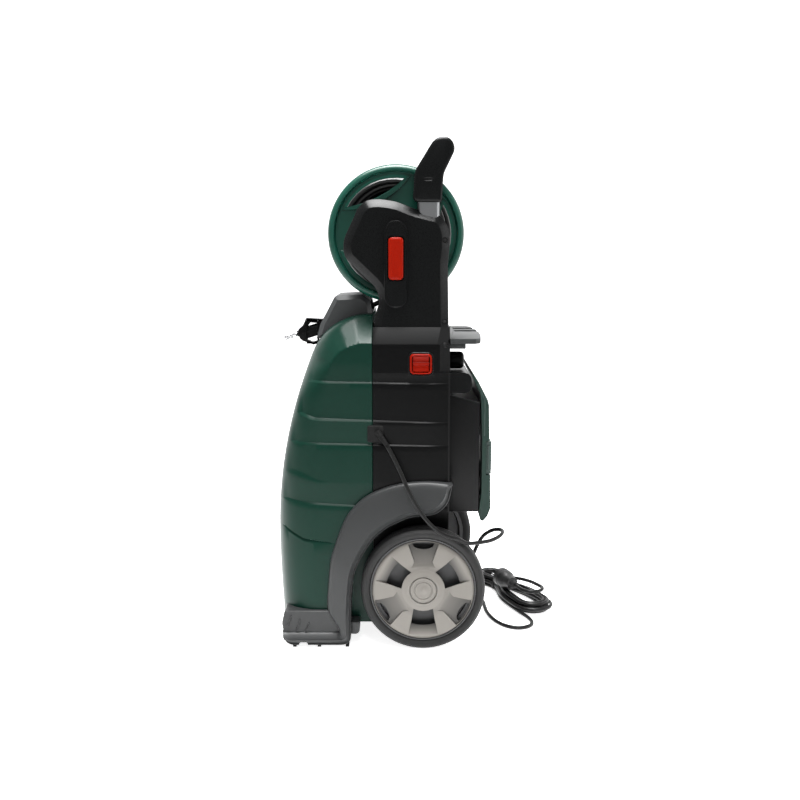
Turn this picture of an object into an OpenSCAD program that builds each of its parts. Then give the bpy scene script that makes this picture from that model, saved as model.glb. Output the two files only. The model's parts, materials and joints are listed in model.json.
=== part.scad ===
// Upright pressure washer on two wheels, with a hose reel between two arms,
// a push-down handle, a rear storage box and a mains cable.
// Front is -Y, rear is +Y. Left is +X, as seen by someone who stands behind it.

/* [Body] */
// Half width over the side faces
side_x = 166; // [164:1:167]
// Half width between the wheels
well_x = 138; // [136:1:139]
// Wall of the moulded shells
wall = 3; // [2.5:0.5:3]
// Plane where the front and the rear shell meet
part_y = -18; // [-20:1:-18]
// Rear wall of the body
rear_y = 114; // [113:0.5:114]
// Underside of the shells
shell_z = 30; // [30:1:31]
// Top of the rear shell, where the arms stand
deck_z = 556; // [554:1:557]

/* [Wheels] */
// Wheel radius
wheel_r = 107; // [100:1:108]
// Wheel width
wheel_w = 45; // [40:1:45]
// Outer face of the wheels
track_x = 192; // [190:1:192]
// Wheel centre behind the origin
wheel_y = 69; // [66:1:70]
// Axle diameter
axle_d = 16; // [12:1:16]

/* [Hose reel] */
// Flange radius
reel_r = 117; // [110:1:118]
// Reel axis behind the origin
reel_y = 22; // [20:1:24]
// Reel axis above the floor
reel_z = 713; // [708:1:716]
// Drum radius under the hose
drum_r = 78; // [70:1:80]
// High pressure hose diameter
hose_d = 9; // [8:0.5:9]
// Shaft diameter
shaft_d = 20; // [16:1:20]

/* [Arms and handle] */
// Inner face of the arms
arm_in = 112; // [111:1:113]
// Outer face of the arms
arm_out = 146; // [145:1:146]
// Long side of the handle tube
tube_l = 38; // [34:1:38]
// Short side of the handle tube
tube_w = 22; // [20:1:22]
// Length of the handle tubes
tube_h = 370; // [340:5:370]

/* [Crank] */
// Width of the crank arm
crank_w = 39; // [36:1:40]
// Distance between the round ends of the crank arm
crank_l = 106; // [104:1:106]
// Length of the folding grip
grip_l = 71; // [66:1:72]

/* [Rear] */
// Half width of the storage box
box_x = 130; // [120:1:131]
// Rear edge of the storage box
box_y = 167; // [164:1:167]

/* [Cable] */
// Mains cable diameter
cable_d = 7; // [6:0.5:7]

/* [Hidden] */
$fn = 64;

gap = 0.3;
fit = 0.05;
tube_y = 77;
tube_x = 129;
arm_mid = 129;
grip_z = 764;
crank_x = arm_out + 1.5;
grip_x = crank_x + 8;
grip_drop = 73;
pump_y = -45;
top_z = 576;
knob_x = 95;
knob_z = 495;
hinge_x = -134;
hinge_y = 176;
sleeve_tilt = 16.5;
tail_tilt = 27.4;
fender_x = 188;
foot_x = 180;
pipe_x = -128;

// ---------- helpers ----------

// 2D x becomes Y and 2D y becomes Z, from x0 to x1
module along_x(x0, x1) {
    translate([x0, 0, 0]) rotate([90, 0, 90]) linear_extrude(x1 - x0) children();
}

// 2D x stays X and 2D y becomes Z, from y0 to y1
module along_y(y0, y1) {
    translate([0, y1, 0]) rotate([90, 0, 0]) linear_extrude(y1 - y0) children();
}

module box3(a, b) {
    translate(a) cube(b - a);
}

// Cylinder along X
module rod_x(x0, x1, y, z, r) {
    translate([x0, y, z]) rotate([0, 90, 0]) cylinder(h = x1 - x0, r = r);
}

// Cylinder along Y
module rod_y(y0, y1, x, z, r) {
    translate([x, y0, z]) rotate([-90, 0, 0]) cylinder(h = y1 - y0, r = r);
}

module rod_z(z0, z1, x, y, r) {
    translate([x, y, z0]) cylinder(h = z1 - z0, r = r);
}

// Obround with its round ends r, from a to b in 2D, both on one axis
module obround(a, b, r) {
    translate(a) circle(r);
    translate(b) circle(r);
    lo = [min(a[0], b[0]), min(a[1], b[1])];
    hi = [max(a[0], b[0]), max(a[1], b[1])];
    wide = (hi[0] - lo[0] > hi[1] - lo[1]) ? [0, r] : [r, 0];
    translate(lo - wide) square(hi - lo + 2 * wide);
}

module both_sides() {
    children();
    mirror([1, 0, 0]) children();
}

// Points of a cubic curve, without its first point unless first is 0
function bez(a, b, c, d, n, first = 1) = [for (i = [first : n]) let (t = i / n)
    pow(1 - t, 3) * a + 3 * pow(1 - t, 2) * t * b + 3 * (1 - t) * t * t * c + pow(t, 3) * d];

// Points of a circular arc
function arc(c, r, a0, a1, n) = [for (i = [0 : n]) let (a = a0 + (a1 - a0) * i / n)
    c + r * [cos(a), sin(a)]];

// An open line moved by k to its right-hand side
function inset(p, k) = [for (i = [0 : len(p) - 1])
    let (a = p[max(i - 1, 0)], b = p[min(i + 1, len(p) - 1)], t = (b - a) / norm(b - a))
    p[i] + k * [t[1], -t[0]]];

// ---------- outlines ----------

// Front edge of the body in side view, from the bottom to the shoulder
front_line = concat(
    bez([-182, 30], [-186, 90], [-189, 130], [-189, 190], 4, 0),
    bez([-189, 190], [-189, 300], [-166, 405], [-126.5, 507], 8),
    bez([-126.5, 507], [-110.3, 549], [-70, 576], [-18, 576], 6));

// Half of the front in plan, from the side face to the middle
plan_line = concat(
    [[-side_x, 130], [-side_x, -115]],
    bez([-side_x, -115], [-side_x, -160], [-140, -187], [-90, -188], 5),
    [[0, -189.5]]);

function flip(p) = [for (i = [len(p) - 1 : -1 : 0]) [-p[i][0], p[i][1]]];
function tail(p) = [for (i = [1 : len(p) - 1]) p[i]];
function whole(p) = concat(p, tail(flip(p)));

// Outer edge of the fender band, from the foot round to the rear
fender_line = concat(
    bez([-98, 62], [-95, 110], [-93, 150], [-83, 184], 4, 0),
    bez([-83, 184], [-60, 260], [0, 290], [75, 294], 8),
    [[117, 292]]);

arm_line = [[-17.5, deck_z], [-14, 574], [-4.8, 602], [-11.5, 622], [-63.5, 672],
    [-67, 689], [-64.8, 705.3], [-41, 756.3], [-27.6, 768], [-7.6, 770.2], [22.3, 766],
    [55.7, 753], [95.8, 743.2], [105.9, 731.7], [112.6, 715.2], [112.9, 690],
    [109.7, 665.5], [112, deck_z]];

// ---------- body shells ----------

module plan_cut(k) {
    translate([0, 0, shell_z - 1]) linear_extrude(600) polygon(inset(whole(plan_line), -k));
}

// Space taken by a wheel and its fender skirt, grown by k
module wheel_well(k) {
    both_sides() {
        rod_x(well_x - k, 210, wheel_y, wheel_r, 133 + k);
        box3([well_x - k, wheel_y - 133 - k, 0], [210, 140, wheel_r]);
        box3([well_x - k, wheel_y, 0], [210, 140, wheel_r + 133 + k]);
    }
}

module front_blank(k) {
    difference() {
        intersection() {
            along_x(-side_x + k, side_x - k)
                polygon(concat(k > 0 ? [[-182 + k, shell_z - k]] : [], inset(front_line, k),
                    [[part_y, top_z - k], [part_y, shell_z - k]]));
            plan_cut(k);
            along_y(-200, part_y) polygon([[-side_x + k, 0], [side_x - k, 0],
                [side_x - k, 526 - k], [112 - k, top_z + 1 - k], [-112 + k, top_z + 1 - k],
                [-side_x + k, 526 - k]]);
        }
        wheel_well(k);
    }
}

module front_shell() {
    color("darkgreen") difference() {
        front_blank(0);
        front_blank(wall);
        // room for the hose under the cowl
        box3([-24, -112, 530], [24, part_y + 1, 600]);
        // opening of the cable gland
        rod_x(side_x - 8, side_x + 1, -8, 381, 9);
    }
}

module rear_blank(k) {
    difference() {
        intersection() {
            translate([0, 0, shell_z]) linear_extrude(deck_z - k - shell_z)
                polygon([[-side_x + k, part_y], [side_x - k, part_y], [side_x - k, 96 - k / 2],
                    [150 - k / 2, rear_y - k], [-150 + k / 2, rear_y - k],
                    [-side_x + k, 96 - k / 2]]);
            along_y(part_y - 1, rear_y + 1) polygon([[-side_x + k, 0], [side_x - k, 0],
                [side_x - k, 529 - k / 2], [147 - k / 2, deck_z + 1], [-147 + k / 2, deck_z + 1],
                [-side_x + k, 529 - k / 2]]);
        }
        wheel_well(k);
    }
}

module rear_shell() {
    color("#18191a") difference() {
        rear_blank(0);
        rear_blank(wall);
        both_sides() translate([0, 0, deck_z - 8]) tube_slot(12, 0.4);
        rod_z(deck_z - 8, deck_z + 1, pipe_x, reel_y, 5.5);
        rod_x(-side_x, side_x, wheel_y, wheel_r, axle_d / 2 + 2);
        rod_y(rear_y - 8, rear_y + 1, 0, 80, 13);
        rod_y(rear_y - 8, rear_y + 1, knob_x, knob_z, 4 + fit);
        // switch opening
        box3([side_x - 8, 45 - gap, 477 - gap], [side_x + 1, 84 + gap, 515 + gap]);
        rod_x(side_x - 8, side_x + 1, -8, 381, 9);
    }
}

module base_tray() {
    color("#202224") difference() {
        union() {
            box3([-118, -150, shell_z], [118, -66, shell_z + 4]);
            box3([-well_x + wall + gap, -66, shell_z], [well_x - wall - gap, rear_y - wall - gap, shell_z + 4]);
            // towers for the axle
            both_sides() box3([112, wheel_y - 22, shell_z + 4], [134, wheel_y + 22, 134]);
            // ribs under the pump
            for (x = [-36, 28]) box3([x, -80, shell_z + 4], [x + 8, -10, 63.5]);
        }
        rod_x(-200, 200, wheel_y, wheel_r, axle_d / 2 + fit);
        for (x = [-90 : 30 : 90]) box3([x - 4, -50, 0], [x + 4, 20, shell_z + 10]);
    }
}

on_shell = inset(front_line, -gap);

module top_cowl() {
    color("#3d4144") difference() {
        along_x(-78, 78) polygon(concat([[-119, 531], [-112, 556], [-87, 603], [-84, 606],
            [-38, 608.5], [-24, 598], [-20, 577]], [for (i = [17 : -1 : 13]) on_shell[i]]));
        // hollow over the hose, open to the reel
        along_x(-74, 74) polygon([[-108, 552], [-85, 600], [-38, 604.5], [-19, 594], [-19, 560],
            [-66, 560], [-86, 545], [-100, 540]]);
        rod_tilt([0, -113.8, 546.7], sleeve_tilt, -20, 40, 8);
    }
}

// Rod in the plane X = 0 through p, tilted down to the front, from s0 to s1 along it
module rod_tilt(p, tilt, s0, s1, r) {
    translate(p) rotate([90 + tilt, 0, 0]) translate([0, 0, s0]) cylinder(h = s1 - s0, r = r);
}

// Fender band with its skirt and the front foot, on the left side
module fender() {
    well_arc = arc([wheel_y, wheel_r], 125, 200, 92, 16);
    band = concat([[-56, 62]], well_arc, [[88, 239], [101, 247], [112, 263], [117, 292]]);
    difference() {
        along_x(side_x + gap, fender_x)
            polygon(concat(fender_line, flipline(band)));
        along_x(side_x - 1, fender_x - wall) difference() {
            polygon(concat(inset(fender_line, wall), [[60, 280], [60, wheel_r], [-90, 66]]));
            translate([wheel_y, wheel_r]) circle(129);
            translate([-60, 0]) square([400, wheel_r]);
            translate([60, 0]) square([100, 400]);
        }
    }
    // skirt between the band and the inner wall
    difference() {
        rod_x(well_x + gap, side_x + gap, wheel_y, wheel_r, 132.6);
        rod_x(well_x, side_x + 1, wheel_y, wheel_r, 128);
        box3([well_x, -80, -80], [side_x + 1, 300, wheel_r]);
        box3([well_x, wheel_y, -80], [side_x + 1, 300, 400]);
    }
    // foot under the front corner
    difference() {
        union() {
            along_x(side_x + gap, foot_x) polygon([[-98, 62], [-56, 62], [-56, 42], [-59, 30],
                [-59, 5], [-168, 5], [-176, 12], [-178, 40], [-172, 62]]);
            along_x(118, side_x + gap) polygon([[-59, shell_z - gap], [-59, 5], [-150, 5],
                [-158, 12], [-158, shell_z - gap]]);
        }
        box3([124, -150, 0], [foot_x - 5, -66, 25]);
    }
}

function flipline(p) = [for (i = [len(p) - 1 : -1 : 0]) p[i]];

module left_fender() {
    color("#34383b") fender();
}

module right_fender() {
    color("#34383b") mirror([1, 0, 0]) fender();
}

module foot_pads() {
    color("#101010") both_sides() {
        for (y = [-155, -112]) box3([121, y - 5, 0], [150, y + 5, 5]);
        box3([121, -64, 0], [150, -60, 5]);
        for (y = [-155, -112, -63]) box3([160, y - 3, 0], [178, y + 3, 5]);
    }
}

// ---------- arms ----------

// Section of a handle tube, grown by k
module tube_slot(h, k) {
    r = tube_w / 2 + k;
    linear_extrude(h) translate([tube_x, tube_y])
        obround([0, -(tube_l - tube_w) / 2], [0, (tube_l - tube_w) / 2], r);
}

// Half of an arm from x0 to x1, with the seat of a bush if seat is true
module arm_half(x0, x1, seat = true) {
    inner = x0 < arm_mid - 5;
    difference() {
        along_x(x0, x1) polygon(arm_line);
        along_x(inner ? x0 + wall : x0 - 1, inner ? x1 + 1 : x1 - wall)
            polygon(concat([[-11, deck_z + wall]], inset([for (i = [2 : 15]) arm_line[i]], wall),
                [[106.5, 665], [108.5, deck_z + wall]]));
        translate([0, 0, deck_z - 1]) tube_slot(240, 0.4);
        if (seat) rod_x(x0 - 1, x1 + 1, reel_y, reel_z, 14 + fit);
        rod_z(deck_z - 1, deck_z + 10, -pipe_x, reel_y, 5.5);
    }
}

module left_arm_cover() {
    color("#1b1c1d") arm_half(arm_mid + 0.1, arm_out);
}

module right_arm_cover() {
    color("#1b1c1d") mirror([1, 0, 0]) arm_half(arm_mid + 0.1, arm_out, false);
}

module arm_frame() {
    color("#1e2022") {
        both_sides() arm_half(arm_in, arm_mid);
        // bridge between the arms, with a slot for the hose
        difference() {
            box3([-arm_in - 0.5, -17.5, deck_z], [arm_in + 0.5, 111, deck_z + 5]);
            box3([-20, -18, deck_z - 1], [20, 30, deck_z + 6]);
        }
    }
}

module reel_bushes() {
    color("#d8d4c8") {
        difference() {
            rod_x(arm_in, arm_out, reel_y, reel_z, 14);
            rod_x(arm_in - 1, arm_out + 1, reel_y, reel_z, shaft_d / 2 + fit);
        }
        difference() {
            rod_x(-120, -arm_in, reel_y, reel_z, 14);
            rod_x(-121, -arm_in + 1, reel_y, reel_z, shaft_d / 2 + fit);
        }
    }
}

module swivel_joint() {
    color("goldenrod") difference() {
        union() {
            rod_x(-138, -120.3, reel_y, reel_z, 16);
            rod_z(690, reel_z - 10, pipe_x, reel_y, 8);
        }
        rod_x(-134, -120, reel_y, reel_z, shaft_d / 2 + fit);
        rod_z(689, reel_z, pipe_x, reel_y, 3);
    }
}

module high_pressure_pipe() {
    r = 5;
    color("silver") {
        rod_x(pipe_x, -62, pump_y, 95, r);
        translate([pipe_x, pump_y, 95]) sphere(r);
        rod_z(95, 430, pipe_x, pump_y, r);
        translate([pipe_x, pump_y, 430]) sphere(r);
        rod_y(pump_y, reel_y, pipe_x, 430, r);
        translate([pipe_x, reel_y, 430]) sphere(r);
        rod_z(430, 690, pipe_x, reel_y, r);
    }
}

// ---------- hose ----------

tail_r = drum_r + 1.5 * hose_d + 2;
tail_start = [0, reel_y + tail_r * sin(tail_tilt), reel_z - tail_r * cos(tail_tilt)];
bend = [0, -73.9, 558.5];
bend_run = norm(bend - tail_start);

module hose_tail() {
    color("#1a1a1a") {
        rod_tilt(tail_start, tail_tilt, 0, bend_run, hose_d / 2);
        translate(bend) sphere(hose_d / 2 + 0.1);
        rod_tilt(bend, sleeve_tilt, 0, 46, hose_d / 2);
    }
}

module hose_sleeve() {
    color("#222426") difference() {
        rod_tilt(bend, sleeve_tilt, 46, 90.5, 5.6);
        rod_tilt(bend, sleeve_tilt, 78, 91, 3.5);
    }
}

module hose_nipple() {
    color("silver") {
        rod_tilt(bend, sleeve_tilt, 78, 109, 3.5);
        rod_tilt(bend, sleeve_tilt, 101, 103.5, 5);
        rod_tilt(bend, sleeve_tilt, 109, 115.3, 4.6);
    }
}

module hose_guide() {
    color("#17181a") difference() {
        union() {
            rod_tilt([0, -112, 547.2], sleeve_tilt, 0, 46, 9);
            for (x = [-9, 6]) along_x(x, x + 3)
                polygon([[-113, 560], [-144, 562], [-149, 550], [-158, 542], [-156, 526],
                    [-147, 521], [-131, 513.5], [-123.5, 513.5], [-117, 526], [-113, 535]]);
        }
        rod_tilt([0, -112, 547.2], sleeve_tilt, -10, 60, 6.2);
    }
}

// ---------- motor and pump ----------

module motor_housing() {
    color("#8d9094") difference() {
        rod_z(236, 385, 0, pump_y, 62);
        rod_z(246, 377, 0, pump_y, 37);
        rod_z(230, 390, 0, pump_y, 6 + fit);
    }
}

module pump_housing() {
    color("#9a9da0") difference() {
        rod_z(127, 236, 0, pump_y, 58);
        rod_z(126, 230, 0, pump_y, 50);
        rod_z(229, 237, 0, pump_y, 6 + fit);
    }
}

function piston_at(i) = [26 * cos(120 * i + 90), pump_y + 26 * sin(120 * i + 90)];

module pump_head() {
    color("#b08d3c") difference() {
        union() {
            rod_z(63.5, 127, 0, pump_y, 55);
            box3([40, pump_y - 14, 75], [62, pump_y + 14, 115]);
            box3([-62, pump_y - 12, 82], [-40, pump_y + 12, 108]);
            box3([-14, 0, 68], [14, 16, 92]);
        }
        for (i = [0 : 2]) translate([piston_at(i)[0], piston_at(i)[1], 92])
            cylinder(h = 40, r = 7 + fit);
        rod_x(-63, -40, pump_y, 95, 3);
        rod_y(5, 17, 0, 80, 4);
    }
}

module piston(i) {
    p = piston_at(i);
    color("#d9dadb") union() {
        rod_z(100, 182, p[0], p[1], 7);
        rod_z(175, 182, p[0], p[1], 11);
    }
}

module piston_1() {
    piston(0);
}

module piston_2() {
    piston(1);
}

module piston_3() {
    piston(2);
}

module pressure_switch() {
    color("#2a2a2a") {
        rod_x(62, 74, pump_y, 95, 9);
        box3([74, pump_y - 14, 80], [96, pump_y + 14, 110]);
    }
}

module rotor() {
    color("#b9764a") {
        rod_z(183, 405, 0, pump_y, 6);
        rod_z(252, 370, 0, pump_y, 34);
    }
}

module cooling_fan() {
    color("#26282a") difference() {
        union() {
            rod_z(388, 391, 0, pump_y, 52);
            rod_z(388, 402, 0, pump_y, 12);
            for (a = [0 : 45 : 315]) translate([0, pump_y, 0]) rotate([0, 0, a])
                box3([11, -1.2, 390], [51, 1.2, 402]);
        }
        rod_z(380, 410, 0, pump_y, 6);
    }
}

module wobble_plate() {
    color("#77797c") difference() {
        union() {
            translate([0, pump_y, 194]) rotate([8, 0, 0]) cylinder(h = 7, r = 40);
            rod_z(200, 214, 0, pump_y, 16);
        }
        rod_z(180, 230, 0, pump_y, 6);
    }
}

module inlet_fitting() {
    color("#3a3d40") difference() {
        union() {
            rod_y(16, 118, 0, 80, 7);
            rod_y(rear_y + gap, 121, 0, 80, 16);
            rod_y(121, 136, 0, 80, 9);
            rod_y(136, 140, 0, 80, 11);
            rod_y(140, 150, 0, 80, 8);
        }
        rod_y(15, 151, 0, 80, 4.5);
    }
}

// ---------- switch ----------

module switch_bezel() {
    color("red") difference() {
        along_x(side_x - 4, side_x + 3) rounded([45, 477], [84, 515], 8);
        along_x(side_x - 5, side_x + 4) rounded([50.5, 481.5], [78.5, 510.5], 4);
    }
}

module rounded(a, b, r) {
    translate([a[0] + r, a[1]]) square([b[0] - a[0] - 2 * r, b[1] - a[1]]);
    translate([a[0], a[1] + r]) square([b[0] - a[0], b[1] - a[1] - 2 * r]);
    for (x = [a[0] + r, b[0] - r], y = [a[1] + r, b[1] - r]) translate([x, y]) circle(r);
}

// Rocker on a cross pin, its top half pressed in at rest
module power_rocker() {
    color("red") translate([side_x - 4, 0, 496]) rotate([0, -7, 0]) difference() {
        union() {
            along_x(0, 5) translate([0, -496]) rounded([51.2, 482.8], [77.8, 509.2], 3);
            rod_y(51.2, 77.8, 0, 0, 5);
        }
        box3([5.2, 0, -1], [6, 100, 1]);
    }
}

module switch_block() {
    color("#33373a") difference() {
        box3([144, 46, 478], [side_x - 4 - gap, 83, 514]);
        rod_y(50, 79, side_x - 4, 496, 6);
        box3([side_x - 9, 50, 481], [side_x, 79, 511]);
    }
}

// ---------- rear ----------

module accessory_rack() {
    color("#2b2d2f") difference() {
        union() {
            translate([0, 0, 528]) linear_extrude(9) polygon(concat([[-150, rear_y + gap], [-150, 158]],
                arc([0, -1045], 1219, 96.3, 83.7, 12), [[150, 158], [150, rear_y + gap]]));
            box3([-140, rear_y + gap, 519], [140, 141, 528]);
        }
        for (x = [-81, -4]) translate([x - 7, 130, 500]) cube([14, 60, 60]);
        for (x = [-81, -4]) rod_z(500, 560, x, 130, 7);
    }
}

module rear_cap() {
    color("#1b1c1d") difference() {
        along_x(-150, 150) difference() {
            rounded([100, 444], [151.5, 479], 13);
            translate([90, 400]) square([rear_y + gap - 90, 100]);
        }
        along_x(-147, 147) difference() {
            rounded([97, 447], [148.5, 476], 11);
            translate([90, 400]) square([rear_y + gap - 91, 100]);
        }
    }
}

module storage_box() {
    color("#3b3e41") {
        difference() {
            box3([-box_x, rear_y + gap, 230], [box_x, box_y, 437]);
            box3([-box_x + 2.5, rear_y + gap + 2.5, 232.5], [box_x - 2.5, box_y + 1, 434.5]);
        }
        // knuckles of the door hinge, on the far side
        for (z = [250, 400]) difference() {
            union() {
                rod_z(z, z + 14, hinge_x, hinge_y, 6);
                box3([hinge_x - 4, 150, z], [-box_x, hinge_y - 3, z + 14]);
            }
            rod_z(z - 1, z + 15, hinge_x, hinge_y, 3.05);
        }
    }
}

module box_door() {
    color("darkgreen") difference() {
        union() {
            along_x(-122, box_x) polygon([[153.5, 478], [165, 460], [181, 429], [183.3, 419], [184.8, 358],
                [187, 300], [188.2, 236], [183, 222], [175, 213], [170.5, 215], [168, 230],
                [172.3, 262], [172.3, 359], [169, 438], [153.5, 471]]);
            for (z = [265, 385]) {
                rod_z(z, z + 14, hinge_x, hinge_y, 6);
                box3([hinge_x, hinge_y - 3, z], [-121, hinge_y + 6, z + 14]);
            }
            for (z = [249, 385]) rod_z(z, z + 30, hinge_x, hinge_y, 3);
        }
        // pocket of the latch
        box3([96, 180, 296], [box_x + 1, 200, 357]);
        // hollow back of the door
        along_x(-118, 92) polygon([[150, 356], [181.5, 356], [184, 300], [185.2, 238], [181, 226],
            [176, 220], [165, 232], [150, 262]]);
    }
}

module door_latch() {
    color("#14291f") {
        box3([101, 180.3, 298], [127, 188.4, 355]);
        box3([127, 183, 306], [box_x, 188.4, 347]);
    }
}

module regulator_knob() {
    color("#151617") difference() {
        union() {
            rod_y(100, 118, knob_x, knob_z, 4);
            rod_y(rear_y + 1, 141, knob_x, knob_z, 15);
        }
        for (a = [0 : 30 : 330]) translate([knob_x, 0, knob_z]) rotate([0, a, 0])
            rod_y(120, 150, 0, 16.5, 2.5);
    }
}

// ---------- running gear ----------

module wheel_axle() {
    color("silver") rod_x(-track_x + 6, track_x - 6, wheel_y, wheel_r, axle_d / 2);
}

module axle_caps() {
    color("#55585b") both_sides() difference() {
        rod_x(track_x - 10, track_x - 7, wheel_y, wheel_r, 13);
        rod_x(track_x - 11, track_x, wheel_y, wheel_r, axle_d / 2 + 0.02);
    }
}

module tyre() {
    x1 = track_x;
    x0 = track_x - wheel_w;
    color("#161616") translate([x0, wheel_y, wheel_r]) rotate([0, 90, 0]) rotate_extrude($fn = 96)
        polygon([[91, 3], [101, 1], [105, 6], [wheel_r, 14], [wheel_r, wheel_w - 14],
            [105, wheel_w - 6], [101, wheel_w - 1], [93, wheel_w], [91, wheel_w - 4]]);
}

// Wheel body with its cover on the outer side
module hub() {
    color("#a9a79f") translate([track_x - wheel_w, wheel_y, wheel_r]) rotate([0, 90, 0]) difference() {
        rotate_extrude($fn = 96) polygon([[axle_d / 2 + fit, 2], [18, 2], [18, 24], [80, 24], [84, 4],
            [91, 4], [91, wheel_w - 4], [86, wheel_w - 2], [40, wheel_w - 3], [36, wheel_w - 1],
            [0, wheel_w - 1], [0, wheel_w - 5], [20, wheel_w - 5], [20, 29], [axle_d / 2 + fit, 29]]);
        // three tapered recesses and three windows of the cover
        for (a = [0 : 120 : 240]) {
            rotate([0, 0, a + 180]) translate([52, -17, wheel_w - 8]) cube([30, 34, 20]);
            rotate([0, 0, a]) translate([42, -22, wheel_w - 12]) cube([18, 44, 20]);
        }
    }
}

module left_tyre() {
    tyre();
}

module right_tyre() {
    mirror([1, 0, 0]) tyre();
}

module left_hub() {
    hub();
}

module right_hub() {
    mirror([1, 0, 0]) hub();
}

// ---------- handle ----------

module handle_tube() {
    color("silver") difference() {
        translate([0, 0, 800 - tube_h]) tube_slot(tube_h, 0);
        translate([0, 0, 799 - tube_h]) tube_slot(tube_h - 3, -1.5);
    }
}

module left_handle_tube() {
    handle_tube();
}

module right_handle_tube() {
    mirror([1, 0, 0]) handle_tube();
}

module handle_grip() {
    color("#1c1d1e") {
        both_sides() difference() {
            along_x(arm_in + 1, arm_out - 1) polygon([[102.8, 870], [113, 863], [119.3, 851], [117.7, 844.5],
                [101.5, 811], [98.5, 767.2], [95.2, grip_z], [55.5, grip_z], [50.5, 770.4],
                [53.7, 815.6], [83.1, 863.6]]);
            translate([0, 0, grip_z - 1]) tube_slot(801 - grip_z, 0);
        }
        rod_x(-arm_in - 2, arm_in + 2, 100.8, 852, 16);
    }
}

// ---------- reel ----------

// Flange seen along X, with three lens windows
module flange() {
    color("darkgreen") difference() {
        union() {
            rod_x(94, 98, reel_y, reel_z, reel_r);
            difference() {
                rod_x(94, 109, reel_y, reel_z, reel_r);
                rod_x(93, 110, reel_y, reel_z, reel_r - 12);
            }
            rod_x(94, 109, reel_y, reel_z, 30);
        }
        rod_x(90, 112, reel_y, reel_z, shaft_d / 2 + 0.01);
        for (a = [0, 120, 240]) translate([0, reel_y, reel_z]) rotate([a, 0, 0]) intersection() {
            rod_x(93, 99, 0, 0, reel_r - 14);
            rod_x(93, 99, 145, 0, 80);
        }
    }
}

module left_reel_flange() {
    flange();
}

module right_reel_flange() {
    mirror([1, 0, 0]) flange();
}

module reel_drum() {
    color("#26302b") translate([-93.9, reel_y, reel_z]) rotate([0, 90, 0]) rotate_extrude($fn = 96)
        polygon([[shaft_d / 2 + 0.01, 0], [16, 0], [16, 90], [drum_r - 3, 90], [drum_r - 3, 0], [drum_r, 0],
            [drum_r, 187.8], [drum_r - 3, 187.8], [drum_r - 3, 96], [16, 96], [16, 187.8],
            [shaft_d / 2 + 0.01, 187.8]]);
}

module reel_shaft() {
    color("silver") difference() {
        rod_x(-133.5, crank_x + 2.5, reel_y, reel_z, shaft_d / 2);
        rod_x(-134, -20, reel_y, reel_z, 4);
    }
}

module hose_winding() {
    r1 = drum_r + gap + hose_d;
    color("#181818") translate([-93.6, reel_y, reel_z]) rotate([0, 90, 0]) rotate_extrude($fn = 96)
        polygon([[drum_r + gap, 0], [r1, 0], [r1, 142], [r1 + hose_d, 146], [r1 + hose_d, 187.2],
            [drum_r + gap, 187.2]]);
}

module crank_arm() {
    color("#222426") difference() {
        along_x(crank_x, crank_x + 9.5) translate([reel_y, reel_z + 1.5])
            obround([0, 0], [0, -crank_l], crank_w / 2);
        rod_x(crank_x - 1, crank_x + 2.5, reel_y, reel_z, shaft_d / 2 + 0.01);
        along_x(crank_x + 3, crank_x + 12) translate([reel_y, reel_z])
            rounded([-13.5, -79], [13.5, -4], 4);
        rod_y(reel_y - 15.5, reel_y + 15.5, grip_x, reel_z - grip_drop, 2 + fit);
    }
}

module crank_grip() {
    color("red") {
        along_x(grip_x - 4.5, grip_x + 4.5) translate([reel_y, reel_z])
            rounded([-12.5, -grip_drop], [12.5, -77.5 + grip_l], 5);
        rod_y(reel_y - 12.5, reel_y + 12.5, grip_x, reel_z - grip_drop, 4.5);
        rod_y(reel_y - 15, reel_y + 15, grip_x, reel_z - grip_drop, 2);
    }
}

// ---------- cable ----------

gland_at = [168, -14, 379];
gland_way = [0.25, 0.57, -0.783];
gland_len = 28;

// Cone from p along the direction w
module cone_to(p, w, h, r1, r2) {
    translate(p) rotate([0, acos(w[2] / norm(w)), atan2(w[1], w[0])]) cylinder(h = h, r1 = r1, r2 = r2);
}

module cable_gland() {
    color("#111111") {
        rod_x(side_x - 6, 168, -8, 381, 8.7);
        intersection() {
            translate([168, -8, 381]) sphere(8.7);
            box3([168, -30, 360], [190, 20, 400]);
        }
        cone_to([170, -8, 378], gland_way, gland_len, 6, 4.2);
    }
}

route = [[177, 8, 356], [181, 16, 342], [186, 27, 320], [191, 37, 298], [195.5, 46, 278],
    [197, 56, 259], [198, 68, 241], [199, 81, 226], [199, 96, 213], [198, 111, 205],
    [195, 127, 200], [188, 142, 191], [179, 157, 188], [170, 172, 187], [161, 186, 187],
    [150, 199, 189], [136, 208, 191], [119, 211, 192], [103, 205, 190], [92, 193, 184],
    [87, 179, 172], [87, 168, 152], [88, 159, 127], [88, 152, 99], [86, 147, 71],
    [82, 141, 46], [73, 135, 26], [59, 130, 12], [41, 127, 5], [22, 125, 4], [2, 125, 4],
    [-18, 127, 4], [-38, 133, 4], [-53, 147, 4], [-57, 166, 4], [-48, 183, 4],
    [-30, 192, 4], [-6, 193, 4], [18, 194, 4], [42, 198, 4], [64, 205, 4], [84, 216, 4],
    [98, 231, 4], [102, 249, 4], [94, 266, 4], [76, 274, 4], [54, 269, 5], [31, 257.5, 6]];

// Point of the smooth line through the route, t from 0 to the last index
function on_route(t) =
    let (n = len(route) - 1, i = min(floor(t), n - 1), u = t - i,
        a = route[max(i - 1, 0)], b = route[i], c = route[i + 1], d = route[min(i + 2, n)])
    0.5 * (2 * b + (c - a) * u + (2 * a - 5 * b + 4 * c - d) * u * u
        + (3 * b - a - 3 * c + d) * u * u * u);

rings = 78;
sides = 8;

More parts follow.
